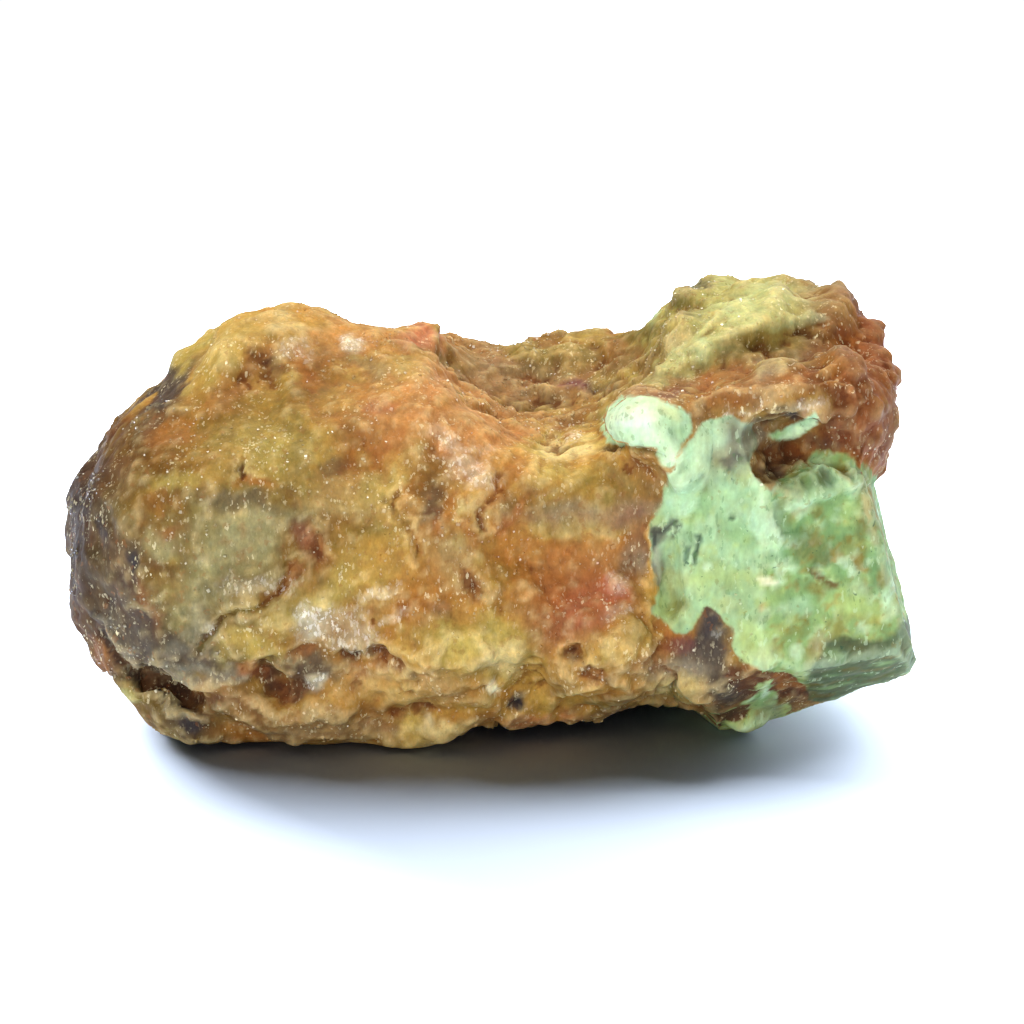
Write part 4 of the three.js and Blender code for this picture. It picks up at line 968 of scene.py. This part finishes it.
def crust_ground(skin, unseen):
    """The crust's colours under the placed marks: zones, clouds, cobbles and the dark gaps between them."""
    points = skin.points
    crust = clouded(broad_colour(skin), points, CRUST_CLOUDS)
    crust = mixed(crust, "rust", (0.15 + 0.35 * unseen) * (skin.kind < 0.22))
    crust = mixed(crust, "straw", (0.15 + 0.40 * unseen) * (skin.kind > 0.72))
    crust = mixed(crust, "brown", (0.10 + 0.40 * unseen) * (skin.small_kind < 0.2))
    crust = mixed(crust, "sage", (0.10 + 0.30 * unseen) * (skin.small_kind > 0.85))
    crust = mixed(crust, "straw", 0.35 * skin.lump * ramp(noise(points, 2.2, 69), 0.0, 0.8))
    crust = mixed(crust, "gold", 0.35 * skin.parts.knobby * ramp(noise(points, 3, 74), -0.5, 0.5))
    gap = (1 - skin.lump) * ramp(noise(points, 6, 68), -0.6, 0.3)
    gap = np.maximum(gap, 0.7 * (1 - skin.lump) * skin.parts.knobby)
    return darkened(crust, 0.5 * gap, (0.6, 1.0, 1.2))


def green_ground(skin):
    """The green stone's colours under the placed marks: a tint for each cleavage face, partly painted light
    and shade, and clouds.
    """
    points = skin.points
    leaf = np.tile(linear("leaf"), (len(points), 1))
    on_face = {}
    for number, (name, cleavage) in enumerate(CLEAVAGES.items()):
        on_face[name] = skin.averaged((skin.face == number).astype(float)[:, None], 2)[:, 0]
        if cleavage.tint:
            leaf = mixed(leaf, cleavage.tint, cleavage.amount * on_face[name])
    low = ramp(skin.share()[:, 2], 0.5, 0.12)
    leaf = mixed(leaf, "lime", 0.55 * low + 0.25 * ramp(layered(points, 5, 65), 0.0, 0.7))
    return clouded(leaf, points, GREEN_CLOUDS, on_face["west"])


def front_marked(skin, crust):
    """The crust's colours with the front's marks over them. The frosty ones are also kept as frost."""
    front = skin.views["front"]
    skin.frost = np.zeros(len(crust))
    for mark in FRONT_MARKS:
        amount = mark.amount * front.oval(mark)
        if mark.colour == "frost":
            skin.frost = np.maximum(skin.frost, amount)
            amount = 0.55 * amount
        crust = mixed(crust, mark.colour, amount)
    return marked(crust, front, FRONT_SEAMS)


def heel_colour(points):
    """The face under the block: grey green with slanting streaks, made dark as painted shade."""
    slanted = points * np.array([0.35, 1, 1]) + points[:, [2, 2, 0]] * np.array([0.3, 0, 0])
    streak = noise(slanted, 0.8, 72)
    dark = mixed(np.tile(linear("jade"), (len(points), 1)), "moss", 0.6 * ramp(streak, 0.1, 0.7))
    return mixed(dark, "leaf", 0.55 * ramp(-streak, 0.1, 0.8))


def paint(skin):
    """Works out the crust's and the green stone's colours, the mask of stain and painted shade, and where
    the skin is frosted.
    """
    points = skin.points
    front = skin.views["front"]
    east, _, up = skin.share().T
    unseen = ramp(front.facing, 0.25, -0.1)
    rim = ramp(east, -0.74, -0.92)
    lobe = skin.parts.lobe * ramp(skin.green, 0, -1)
    dome = ramp(east, -0.12, -0.4) * ramp(up, 0.92, 0.78)

    crust = crust_ground(skin, unseen)
    for side, marks in OTHER_MARKS.items():
        crust = marked(crust, skin.views[side], marks)
    crust = front_marked(skin, crust)
    _, _, number = cells(points, 0.8, 91)
    crust = mixed(crust, "umber", 0.55 * skin.pit * (number < 0.3))
    crust = mixed(crust, "tan", 0.25 * skin.pit * (number > 0.66))
    crust = mixed(crust, "umber", rim * (0.45 + 0.25 * noise(points, 2.5, 73)))
    crust = darkened(crust, 0.33 * lobe, (0.85, 1.35, 1.2))
    crust = darkened(crust, 0.13 * dome * (1 - unseen))
    leaf = marked(green_ground(skin), front, GREEN_MARKS + GREEN_SEAMS)

    # What is low is darkened, partly by rust stain and partly by painted shade, and what stands out is made
    # pale: painted highlight
    fine = skin.hollow(6)
    broad = skin.hollow(60)
    low = ramp(fine, 0.01, 0.07) * 0.5 + ramp(broad, 0.05, 0.45) * 0.6
    painted_ridge_highlight = np.clip(ramp(-fine, 0.01, 0.06) * 0.5 + ramp(-broad, 0.05, 0.4) * 0.4, 0, 1)
    border = ramp(np.abs(skin.green), 1.6, 0.4)
    stain = np.clip(low * 0.8 * (1 - 0.6 * border) + skin.small_pits + 0.3 * skin.pit + 0.4 * rim, 0, 1)
    skin.stain = np.clip(stain + 0.25 * lobe, 0, 1)
    low = np.clip(low, 0, 1)
    rusty = mixed(crust, "rust", 0.5 * low * ramp(noise(points, 6, 67), -0.5, 0.3))
    # Cream on the raised edges of the crust is painted highlight.
    skin.crust = mixed(np.minimum(crust, rusty), "cream", 0.34 * painted_ridge_highlight * (1 - rim) * (1 - 0.6 * lobe))
    # The face under the block takes a dark colour: painted shade.
    heel = ramp(front.within(HEEL, 0.2, 0.4), -0.3, 0.3)
    leaf = leaf + (heel_colour(points) - leaf) * (0.9 * heel)[:, None]
    leaf = mixed(leaf, "moss", 0.30 * low * (1 - 0.6 * border))
    # Milk on the raised edges of the green stone is painted highlight.
    skin.leaf = mixed(leaf, "milk", 0.35 * painted_ridge_highlight)


# ---------------------------------------------------------------------------------------------
# Shader parts
# ---------------------------------------------------------------------------------------------


class Wiring:
    """Adds shader nodes to a tree and joins them."""

    def __init__(self, tree):
        self.tree = tree

    def feed(self, value, socket):
        """Joins an output to the socket, or sets the socket to a constant."""
        if isinstance(value, bpy.types.NodeSocket):
            self.tree.links.new(value, socket)
        else:
            socket.default_value = value

    def add(self, kind, inputs=None, **settings):
        """A new node with its settings made and its inputs fed."""
        node = self.tree.nodes.new("ShaderNode" + kind)
        for name, value in settings.items():
            setattr(node, name, value)
        for name, value in (inputs or {}).items():
            self.feed(value, node.inputs[name])
        return node

    def math(self, operation, first, second=0.0, third=0.0):
        """The result of a sum with up to three numbers."""
        return self.add("Math", {0: first, 1: second, 2: third}, operation=operation).outputs[0]

    def between(self, value, start, end):
        """0 at start, 1 at end, smooth between."""
        inputs = {"Value": value, "From Min": start, "From Max": end}
        return self.add("MapRange", inputs, interpolation_type="SMOOTHSTEP").outputs["Result"]

    def blend(self, amount, first, second, kind="MIX"):
        """The first colour with an amount of the second."""
        inputs = {0: amount, 6: first, 7: second}
        return self.add("Mix", inputs, data_type="RGBA", blend_type=kind).outputs[2]

    def tinted(self, amount, base, colour):
        """The base colour with some of a palette colour laid over it."""
        return self.blend(amount, base, (*linear(colour), 1.0))

    def attribute(self, name, output="Fac"):
        """A number or a colour that the mesh keeps for every point."""
        return self.add("Attribute", attribute_name=name).outputs[output]

    def place(self):
        """The point on the object in millimetres."""
        spot = self.add("TexCoord").outputs["Object"]
        return self.add("VectorMath", {0: spot, "Scale": 1 / MM}, operation="SCALE").outputs[0]

    def mottled(self, colour, place, span, amount):
        """The colour with lighter and darker spots about one span wide, in millimetres."""
        inputs = {"Color": colour, "Place": place, "Span": span, "Amount": amount}
        return self.add("Group", inputs, node_tree=shared_group("Mottle")).outputs["Color"]

    def flecks(self, place, span, size, share):
        """The mask and the random number of scattered flecks, one or none in each span."""
        inputs = {"Place": place, "Span": span, "Size": size, "Share": share}
        made = self.add("Group", inputs, node_tree=shared_group("Flecks"))
        return made.outputs["Mask"], made.outputs["Random"]

    def flecked(self, base, place, span, size, share, amount, colour):
        """The base colour with scattered flecks of a palette colour."""
        mask, _ = self.flecks(place, span, size, share)
        return self.tinted(self.math("MULTIPLY", mask, amount), base, colour)


def new_group(name, inputs, outputs):
    """An empty shader group with named sockets, its wiring, and its input and output nodes."""
    tree = bpy.data.node_groups.new(name, "ShaderNodeTree")
    for side, sockets in (("INPUT", inputs), ("OUTPUT", outputs)):
        for socket_name, kind in sockets:
            tree.interface.new_socket(socket_name, in_out=side, socket_type="NodeSocket" + kind)
    given = tree.nodes.new("NodeGroupInput").outputs
    result = tree.nodes.new("NodeGroupOutput").inputs
    return tree, Wiring(tree), given, result


def mottle_group():
    """Breaks a colour up into lighter and darker, warmer and cooler spots."""
    tree, net, given, result = new_group(
        "Mottle",
        [("Color", "Color"), ("Place", "Vector"), ("Span", "Float"), ("Amount", "Float")],
        [("Color", "Color")],
    )
    place = given["Place"]
    scale = net.math("DIVIDE", 1.0, given["Span"])
    shade = net.add("TexNoise", {"Vector": place, "Scale": scale, "Detail": 4.0, "Roughness": 0.6})
    swing = net.math("SUBTRACT", shade.outputs[0], 0.5)
    factor = net.math("MULTIPLY_ADD", swing, net.math("MULTIPLY", given["Amount"], 4.0), 1.0)
    wider = net.math("MULTIPLY", scale, 0.7)
    warm = net.add("TexNoise", {"Vector": place, "Scale": wider, "Detail": 2.0})
    shift = net.math("MULTIPLY", net.math("SUBTRACT", warm.outputs[0], 0.5), given["Amount"])
    tones = net.add("CombineColor", {
        "Red": net.math("MULTIPLY", factor, net.math("ADD", shift, 1.0)),
        "Green": factor,
        "Blue": net.math("MULTIPLY", factor, net.math("SUBTRACT", 1.0, shift)),
    })
    net.feed(net.blend(1.0, given["Color"], tones.outputs[0], "MULTIPLY"), result["Color"])
    return tree


def fleck_group():
    """Scattered small flecks: a mask that is 1 on a fleck, and a random number for each."""
    tree, net, given, result = new_group(
        "Flecks",
        [("Place", "Vector"), ("Span", "Float"), ("Size", "Float"), ("Share", "Float")],
        [("Mask", "Float"), ("Random", "Float")],
    )
    place = given["Place"]
    scale = net.math("DIVIDE", 1.0, given["Span"])
    finer = net.math("MULTIPLY", scale, 1.3)
    sway = net.add("TexNoise", {"Vector": place, "Scale": finer, "Detail": 2.0}).outputs["Color"]
    centred = net.add("VectorMath", {0: sway, 1: (0.5, 0.5, 0.5)}, operation="SUBTRACT").outputs[0]
    swing = net.math("MULTIPLY", given["Span"], 1.6)
    moved = net.add("VectorMath", {0: centred, "Scale": swing}, operation="SCALE").outputs[0]
    warped = net.add("VectorMath", {0: place, 1: moved}, operation="ADD").outputs[0]
    cell = net.add("TexVoronoi", {"Vector": warped, "Scale": scale})
    random = net.add("SeparateColor", {"Color": cell.outputs["Color"]}).outputs
    radius = net.math("MULTIPLY", given["Size"], net.math("ADD", random[1], 0.5))
    gap = net.math("SUBTRACT", radius, cell.outputs["Distance"])
    spot = net.between(gap, -0.04, 0.04)
    chosen = net.math("LESS_THAN", random[0], given["Share"])
    net.feed(net.math("MULTIPLY", spot, chosen), result["Mask"])
    net.feed(random[2], result["Random"])
    return tree


GROUP_MAKERS = {"Mottle": mottle_group, "Flecks": fleck_group}


def shared_group(name):
    """One of the shader groups that the materials share, built when it is first asked for."""
    return bpy.data.node_groups.get(name) or GROUP_MAKERS[name]()


# ---------------------------------------------------------------------------------------------
# Materials
# ---------------------------------------------------------------------------------------------

FLUORITE_IOR = 1.434


def new_material(name):
    """A new material with its wiring and the inputs of its shader."""
    material = bpy.data.materials.new(name)
    material.use_nodes = True
    return material, Wiring(material.node_tree), material.node_tree.nodes["Principled BSDF"].inputs


def crust_finish(net, place, tall, stain_and_shade_mask, stained):
    """The honey crust's colour: mottled, darkened by stain and painted shade, with painted glints and frost.
    """
    honey = net.attribute("crust", "Color")
    layers = ((place, 2.2, 0.16), (place, 0.7, 0.2), (tall, 0.3, 0.17), (tall, 0.12, 0.14))
    for where, span, amount in layers:
        honey = net.mottled(honey, where, span, amount)
    honey = net.flecked(honey, place, 0.45, 0.30, 0.26, 0.30, "rust")
    # Browner and darker where stained and in painted shade in the hollows.
    honey = net.blend(net.math("MULTIPLY", stain_and_shade_mask, 0.8), honey, (0.60, 0.44, 0.36, 1.0), "MULTIPLY")
    honey = net.tinted(net.math("MULTIPLY", stain_and_shade_mask, 0.2), honey, "dark_rust")
    honey = net.blend(net.between(stained, 0.75, 1.05), honey, (0.5, 0.38, 0.32, 1.0), "MULTIPLY")

    # Painted glints: faint and bright flecks of the spark colour, gathered in beds.
    drift = net.add("TexNoise", {"Vector": place, "Scale": 0.34, "Detail": 4.0, "Roughness": 0.6})
    bed = net.math("MULTIPLY_ADD", net.between(drift.outputs[0], 0.46, 0.62), 0.85, 0.15)
    faint_glint, faint = net.flecks(tall, 0.20, 0.34, 0.55)
    faint_glint_amount = net.math("MULTIPLY", faint_glint, net.math("MULTIPLY", faint, 0.5))
    honey = net.tinted(net.math("MULTIPLY", faint_glint_amount, bed), honey, "spark")
    glint, random = net.flecks(tall, 0.25, 0.22, 0.22)
    shine = net.math("MULTIPLY_ADD", net.attribute("sugar"), 0.15, net.math("POWER", random, 3.2))
    shine = net.math("MULTIPLY", glint, net.math("MULTIPLY", shine, bed))
    honey = net.tinted(shine, honey, "spark")
    snow, random = net.flecks(tall, 0.20, 0.48, 0.75)
    white = net.math("MULTIPLY", snow, net.math("MULTIPLY_ADD", random, 0.6, 0.15))
    return net.blend(net.math("MULTIPLY", white, net.attribute("frost")), honey, (1.0, 0.93, 0.78, 1.0))


def green_finish(net, place, tall, stain_and_shade_mask):
    """The green stone's colour: mottled and flecked with darker, browner and paler grains."""
    mint = net.mottled(net.attribute("leaf", "Color"), place, 1.5, 0.16)
    mint = net.mottled(mint, tall, 0.4, 0.20)
    mint = net.flecked(mint, place, 0.8, 0.11, 0.20, 0.6, "teal")
    mint = net.flecked(mint, place, 0.5, 0.24, 0.16, 0.3, "olive")
    mint = net.flecked(mint, tall, 0.30, 0.30, 0.30, 0.35, "fern")
    mint = net.flecked(mint, tall, 0.34, 0.30, 0.24, 0.3, "milk")
    # Mossier where stained and in painted shade.
    return net.tinted(net.math("MULTIPLY", stain_and_shade_mask, 0.25), mint, "moss")


def feed_colour(net, colour, look, sockets):
    """Joins the colour to the shader, as bright as the look says."""
    strength = (look.strength, look.strength, look.strength, 1.0)
    net.feed(net.blend(1.0, colour, strength, "MULTIPLY"), sockets["Base Color"])


def stone_material(look):
    """The crust and the green stone in one finish, parted by the green attribute."""
    material, net, sockets = new_material("fluorite_crust")
    place = net.place()
    tall = net.add("Mapping", {"Vector": place, "Scale": (1.0, 1.0, 0.5)}).outputs[0]

    grain = net.add("TexNoise", {"Vector": place, "Scale": 1.7, "Detail": 5.0, "Roughness": 0.65})
    swing = net.math("SUBTRACT", grain.outputs[0], 0.5)
    # The mask of stain and painted shade, broken up by fine noise.
    stained = net.math("ADD", net.math("MULTIPLY", net.attribute("stain"), 0.8), swing)
    stain_and_shade_mask = net.between(stained, 0.35, 0.75)

    ragged = net.add("TexNoise", {"Vector": place, "Scale": 1.6, "Detail": 3.0})
    edge = net.math("MULTIPLY_ADD", ragged.outputs[0], 0.9, -0.45)
    green = net.between(net.math("ADD", net.attribute("green"), edge), -0.3, 0.22)
    honey = crust_finish(net, place, tall, stain_and_shade_mask, stained)
    mint = green_finish(net, place, tall, stain_and_shade_mask)
    feed_colour(net, net.blend(green, honey, mint), look, sockets)

    dull = net.add("TexNoise", {"Vector": place, "Scale": 0.9, "Detail": 4.0})
    roughness = net.math("MULTIPLY_ADD", dull.outputs[0], 0.3, 0.52)
    net.feed(net.math("ADD", roughness, net.math("MULTIPLY", stain_and_shade_mask, 0.2)), sockets["Roughness"])
    sockets["IOR"].default_value = FLUORITE_IOR
    sockets["Specular IOR Level"].default_value = 0.14
    sockets["Subsurface Weight"].default_value = 0.45
    sockets["Subsurface Radius"].default_value = (1.0, 0.6, 0.25)
    sockets["Subsurface Scale"].default_value = 0.9 * MM
    return material


def grain_material(look):
    """Small glassy crystals, each with the tint of the stone that it grew on."""
    material, net, sockets = new_material("sugar_crystal")
    feed_colour(net, net.mottled(net.attribute("tint", "Color"), net.place(), 0.4, 0.2), look, sockets)
    sockets["Roughness"].default_value = 0.12
    sockets["IOR"].default_value = FLUORITE_IOR
    sockets["Coat Weight"].default_value = 0.5
    sockets["Coat Roughness"].default_value = 0.06
    return material


def floor_material(shade):
    """Plain matt floor, a very little mottled."""
    material, net, sockets = new_material("plain_floor")
    net.feed(net.mottled((*shade, 1.0), net.place(), 9.0, 0.004), sockets["Base Color"])
    sockets["Roughness"].default_value = 0.9
    sockets["Specular IOR Level"].default_value = 0.1
    return material


# ---------------------------------------------------------------------------------------------
# What a user can change, and the steps that make the scene
# ---------------------------------------------------------------------------------------------


class FluoriteLook(bpy.types.PropertyGroup):
    """Sizes and strengths of the stone's finish."""

    skin_span: bpy.props.FloatProperty(
        name="Skin span",
        description="Distance between neighbouring points of the skin",
        default=0.248 * MM,
        min=0.15 * MM,
        max=2 * MM,
        precision=6,
        unit="LENGTH",
    )
    relief: bpy.props.FloatProperty(
        name="Relief",
        description="How strongly lumps, pits and ridges stand out",
        default=1.0,
        min=0.0,
        max=2.0,
        subtype="FACTOR",
    )
    strength: bpy.props.FloatProperty(
        name="Colour strength",
        description="How bright the stone's own colours are",
        default=0.91,
        min=0.0,
        max=2.0,
        subtype="FACTOR",
    )
    grain_count: bpy.props.IntProperty(
        name="Grains",
        description="Number of sugar crystals on the stone",
        default=5200,
        min=0,
        max=12000,
    )
    grain_size: bpy.props.FloatProperty(
        name="Grain size",
        description="Usual edge length of a sugar crystal",
        default=0.10 * MM,
        min=0.05 * MM,
        max=1 * MM,
        precision=6,
        unit="LENGTH",
    )


class FluoriteStage(bpy.types.PropertyGroup):
    """The floor and the light."""

    floor_colour: bpy.props.FloatVectorProperty(
        name="Floor colour",
        description="Colour of the plain floor",
        default=(0.46, 0.54, 0.68),
        size=3,
        min=0.0,
        max=1.0,
        subtype="COLOR",
    )
    sky: bpy.props.FloatProperty(
        name="Room light",
        description="Strength of the even light from all round",
        default=0.08,
        min=0.0,
        max=5.0,
    )
    key: bpy.props.FloatProperty(
        name="Key light",
        description="Power of the soft light above and behind the stone",
        default=1.5,
        min=0.0,
        max=50.0,
        unit="POWER",
    )
    glow: bpy.props.FloatProperty(
        name="Floor light",
        description="Power of the wide lights behind the stone that only brighten the floor",
        default=7.2,
        min=0.0,
        max=50.0,
        unit="POWER",
    )
    fill: bpy.props.FloatProperty(
        name="Fill light",
        description="Power of the soft light in front of the stone",
        default=0.75,
        min=0.0,
        max=50.0,
        unit="POWER",
    )


def dress_stone(look):
    """Makes the stone's piece: the fine skin with its relief, its colours and its material."""
    mesh = fine_copy(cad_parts[SOLID], "raw_fluorite", look.skin_span)
    skin = Skin(mesh)
    shape_relief(skin, look.relief)
    paint(skin)
    for name in ("crust", "leaf", "green", "stain", "sugar", "frost"):
        store(mesh, name, getattr(skin, name))
    mesh.polygons.foreach_set("use_smooth", np.ones(len(mesh.polygons), bool))
    mesh.materials.append(stone_material(look))
    stone = bpy.data.objects.new("raw_fluorite", mesh)
    bpy.context.scene.collection.objects.link(stone)
    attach(stone, "root")
    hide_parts(SOLID)


class FLUORITE_OT_stone(bpy.types.Operator):
    """Dress the stone with its crust, its green block and all their colours"""

    bl_idname = "fluorite.stone"
    bl_label = "Stone"

    def execute(self, context):
        dress_stone(context.scene.fluorite_look)
        return {"FINISHED"}


CUBE_CORNERS = CORNERS - 0.5
CUBE_FACES = np.array([[0, 1, 3, 2], [4, 6, 7, 5], [0, 4, 5, 1], [2, 3, 7, 6], [0, 2, 6, 4], [1, 5, 7, 3]])


def turn_matrices(turns):
    """The rotations that unit quaternions stand for."""
    w, x, y, z = turns.T
    return np.stack([
        np.stack([1 - 2 * (y * y + z * z), 2 * (x * y - z * w), 2 * (x * z + y * w)], axis=1),
        np.stack([2 * (x * y + z * w), 1 - 2 * (x * x + z * z), 2 * (y * z - x * w)], axis=1),
        np.stack([2 * (x * z - y * w), 2 * (y * z + x * w), 1 - 2 * (x * x + y * y)], axis=1),
    ], axis=1)


def grow_grains(look):
    """Sets small glassy cubes into the skin, most of them where the crust is sugary."""
    mesh = bpy.data.objects["raw_fluorite"].data
    points = read(mesh.vertices, "co", 3) / MM
    normals = read(mesh.vertex_normals, "vector", 3)
    green = read(mesh.attributes["green"].data, "value")
    sugar = read(mesh.attributes["sugar"].data, "value")
    crust = read(mesh.attributes["crust"].data, "color", 4)[:, :3]
    leaf = read(mesh.attributes["leaf"].data, "color", 4)[:, :3]
    ground = np.where(green[:, None] > -0.2, leaf, crust)

    # Grains come in swarms, few of them on the green stone and at the east end and none by the floor
    count = look.grain_count
    swarm = np.clip(0.4 + 1.6 * noise(points, 3.4, 80), 0, 2)
    liking = np.where(green > 0, 0.06, 0.5 + 1.2 * sugar) * swarm
    liking *= points[:, 2] > 0.6
    liking *= np.where(points[:, 0] > 0.62 * HIGH[0], 0.35, 1.0)
    dice = np.random.default_rng(SEED)
    chosen = dice.choice(len(points), count, replace=False, p=liking / liking.sum())
    sizes = look.grain_size / MM * dice.lognormal(-0.1, 0.35, count)
    turns = dice.normal(size=(count, 4))
    spin = turn_matrices(turns / np.linalg.norm(turns, axis=1, keepdims=True))
    stretch = dice.uniform(0.7, 1.2, (count, 1, 3))
    corners = (CUBE_CORNERS[None] * stretch) @ spin.transpose(0, 2, 1) * sizes[:, None, None]
    corners += (points[chosen] + normals[chosen] * (-0.15 * sizes)[:, None])[:, None]
    corners = np.clip(corners.reshape(-1, 3), LOW - 0.3 * SIDEWAYS, HIGH + 0.3)
    faces = (CUBE_FACES[None] + 8 * np.arange(count)[:, None, None]).reshape(-1, 4)

    grains_mesh = bpy.data.meshes.new("sugar_grains")
    grains_mesh.from_pydata((corners * MM).tolist(), [], faces.tolist())
    pale = dice.uniform(0.0, 0.35, (count, 1))
    tint = ground[chosen] + (linear("spark") - ground[chosen]) * pale
    store(grains_mesh, "tint", np.repeat(tint, 8, axis=0))
    grains_mesh.materials.append(grain_material(look))
    grains = bpy.data.objects.new("sugar_grains", grains_mesh)
    bpy.context.scene.collection.objects.link(grains)
    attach(grains, "root")


class FLUORITE_OT_grains(bpy.types.Operator):
    """Set small glassy sugar crystals into the crust"""

    bl_idname = "fluorite.grains"
    bl_label = "Sugar grains"

    def execute(self, context):
        grow_grains(context.scene.fluorite_look)
        return {"FINISHED"}


# The lights: name, place and size in lengths of the stone, share of the power that the stage gives to the
# first word of the name, and what they light.
LIGHTS = [
    ("key", (0.2, 2.2, 6.4), (6.0, 3.6), 1.0, "stone"),
    ("glow_rear", (-2.7, 4.9, 2.1), (5.3, 2.0), 1.0, "floor"),
    ("glow_east", (4.0, 3.3, 2.9), (5.3, 4.6), 0.58, "floor"),
    ("glow_west", (-2.9, 1.65, 5.0), (3.0, 2.4), 0.20, "floor"),
    ("fill_front", (-1.8, -5.2, 2.8), (4.5, 4.0), 1.0, "stone"),
    ("fill_low", (1.0, -6.0, 0.1), (4.0, 2.0), 0.4, "stone"),
    ("fill_rear", (2.4, 5.2, 1.6), (4.0, 4.0), 0.4, "stone"),
]

# The floor is a disc: its radius in lengths of the stone, and how many sides it has.
FLOOR_REACH = 3.4
FLOOR_SIDES = 128

# How bright and what colour the room looks to the camera.
ROOM_GLOW = 1.1
ROOM_COLOUR = (0.93, 0.96, 1.0, 1.0)


def point_at(thing, target):
    """Turns a light or camera to look at the target."""
    thing.rotation_mode = "QUATERNION"
    thing.rotation_quaternion = (Vector(target) - thing.location).to_track_quat("-Z", "Y")


def soft_light(name, place, width, depth, power, target):
    """An oblong soft light in metres."""
    data = bpy.data.lights.new(name, "AREA")
    data.shape = "RECTANGLE"
    data.size = width
    data.size_y = depth
    data.energy = power
    light = bpy.data.objects.new(name, data)
    light.location = place
    bpy.context.scene.collection.objects.link(light)
    point_at(light, target)
    return light


def set_stage(stage):
    """The plain floor, the soft light and the camera."""
    scene = bpy.context.scene
    length = SIZE[0] * MM
    turns = np.linspace(0, 2 * math.pi, FLOOR_SIDES, endpoint=False)
    radius = FLOOR_REACH * length
    rim = [(radius * math.cos(turn), radius * math.sin(turn), 0) for turn in turns]
    floor_mesh = bpy.data.meshes.new("floor")
    floor_mesh.from_pydata(rim, [], [range(FLOOR_SIDES)])
    floor_mesh.materials.append(floor_material(stage.floor_colour))
    floor = bpy.data.objects.new("floor", floor_mesh)
    scene.collection.objects.link(floor)

    world = bpy.data.worlds.new("room")
    world.use_nodes = True
    net = Wiring(world.node_tree)
    seen = net.add("LightPath").outputs["Is Camera Ray"]
    strength = net.math("MAXIMUM", net.math("MULTIPLY", seen, ROOM_GLOW), stage.sky)
    room = world.node_tree.nodes["Background"]
    room.inputs["Color"].default_value = ROOM_COLOUR
    net.feed(strength, room.inputs["Strength"])
    scene.world = world
    scene.view_settings.view_transform = "Standard"

    middle = Vector(AIM) * MM
    receivers = {}
    for lit, names in (("stone", ("raw_fluorite", "sugar_grains")), ("floor", ("floor",))):
        receivers[lit] = bpy.data.collections.new("lit_" + lit)
        for name in names:
            receivers[lit].objects.link(bpy.data.objects[name])
    for name, place, size, share, lit in LIGHTS:
        power = share * getattr(stage, name.split("_")[0])
        where = middle + Vector(place) * length
        light = soft_light(name, where, size[0] * length, size[1] * length, power, middle)
        light.light_linking.receiver_collection = receivers[lit]

    lens = bpy.data.cameras.new("camera")
    lens.lens = LENS_MM
    lens.sensor_width = SENSOR_MM
    lens.clip_start = 0.01
    camera = bpy.data.objects.new("camera", lens)
    rise = math.radians(FRONT_RISE)
    camera.location = middle + Vector((0, -math.cos(rise), math.sin(rise))) * REACH * MM
    scene.collection.objects.link(camera)
    point_at(camera, middle)
    scene.camera = camera


class FLUORITE_OT_stage(bpy.types.Operator):
    """Set the plain floor, the soft light and the camera"""

    bl_idname = "fluorite.stage"
    bl_label = "Stage"

    def execute(self, context):
        set_stage(context.scene.fluorite_stage)
        return {"FINISHED"}


class FLUORITE_PT_panel(bpy.types.Panel):
    """The stone's sizes and steps"""

    bl_idname = "FLUORITE_PT_panel"
    bl_label = "Raw fluorite"
    bl_space_type = "VIEW_3D"
    bl_region_type = "UI"
    bl_category = "Fluorite"

    def draw(self, context):
        look = context.scene.fluorite_look
        stage = context.scene.fluorite_stage
        for name in ("skin_span", "relief", "strength"):
            self.layout.prop(look, name)
        self.layout.operator("fluorite.stone")
        for name in ("grain_count", "grain_size"):
            self.layout.prop(look, name)
        self.layout.operator("fluorite.grains")
        for name in ("floor_colour", "sky", "key", "glow", "fill"):
            self.layout.prop(stage, name)
        self.layout.operator("fluorite.stage")


CLASSES = (
    FluoriteLook,
    FluoriteStage,
    FLUORITE_OT_stone,
    FLUORITE_OT_grains,
    FLUORITE_OT_stage,
    FLUORITE_PT_panel,
)


def register():
    """Makes the settings, the steps and the panel known to Blender."""
    for kind in CLASSES:
        bpy.utils.register_class(kind)
    bpy.types.Scene.fluorite_look = bpy.props.PointerProperty(type=FluoriteLook)
    bpy.types.Scene.fluorite_stage = bpy.props.PointerProperty(type=FluoriteStage)


def unregister():
    """Takes the settings, the steps and the panel away again."""
    del bpy.types.Scene.fluorite_stage
    del bpy.types.Scene.fluorite_look
    for kind in reversed(CLASSES):
        bpy.utils.unregister_class(kind)


def main():
    """Makes the whole scene."""
    register()
    bpy.ops.fluorite.stone()
    bpy.ops.fluorite.grains()
    bpy.ops.fluorite.stage()
    bpy.context.view_layer.update()


if __name__ == "__main__":
    main()
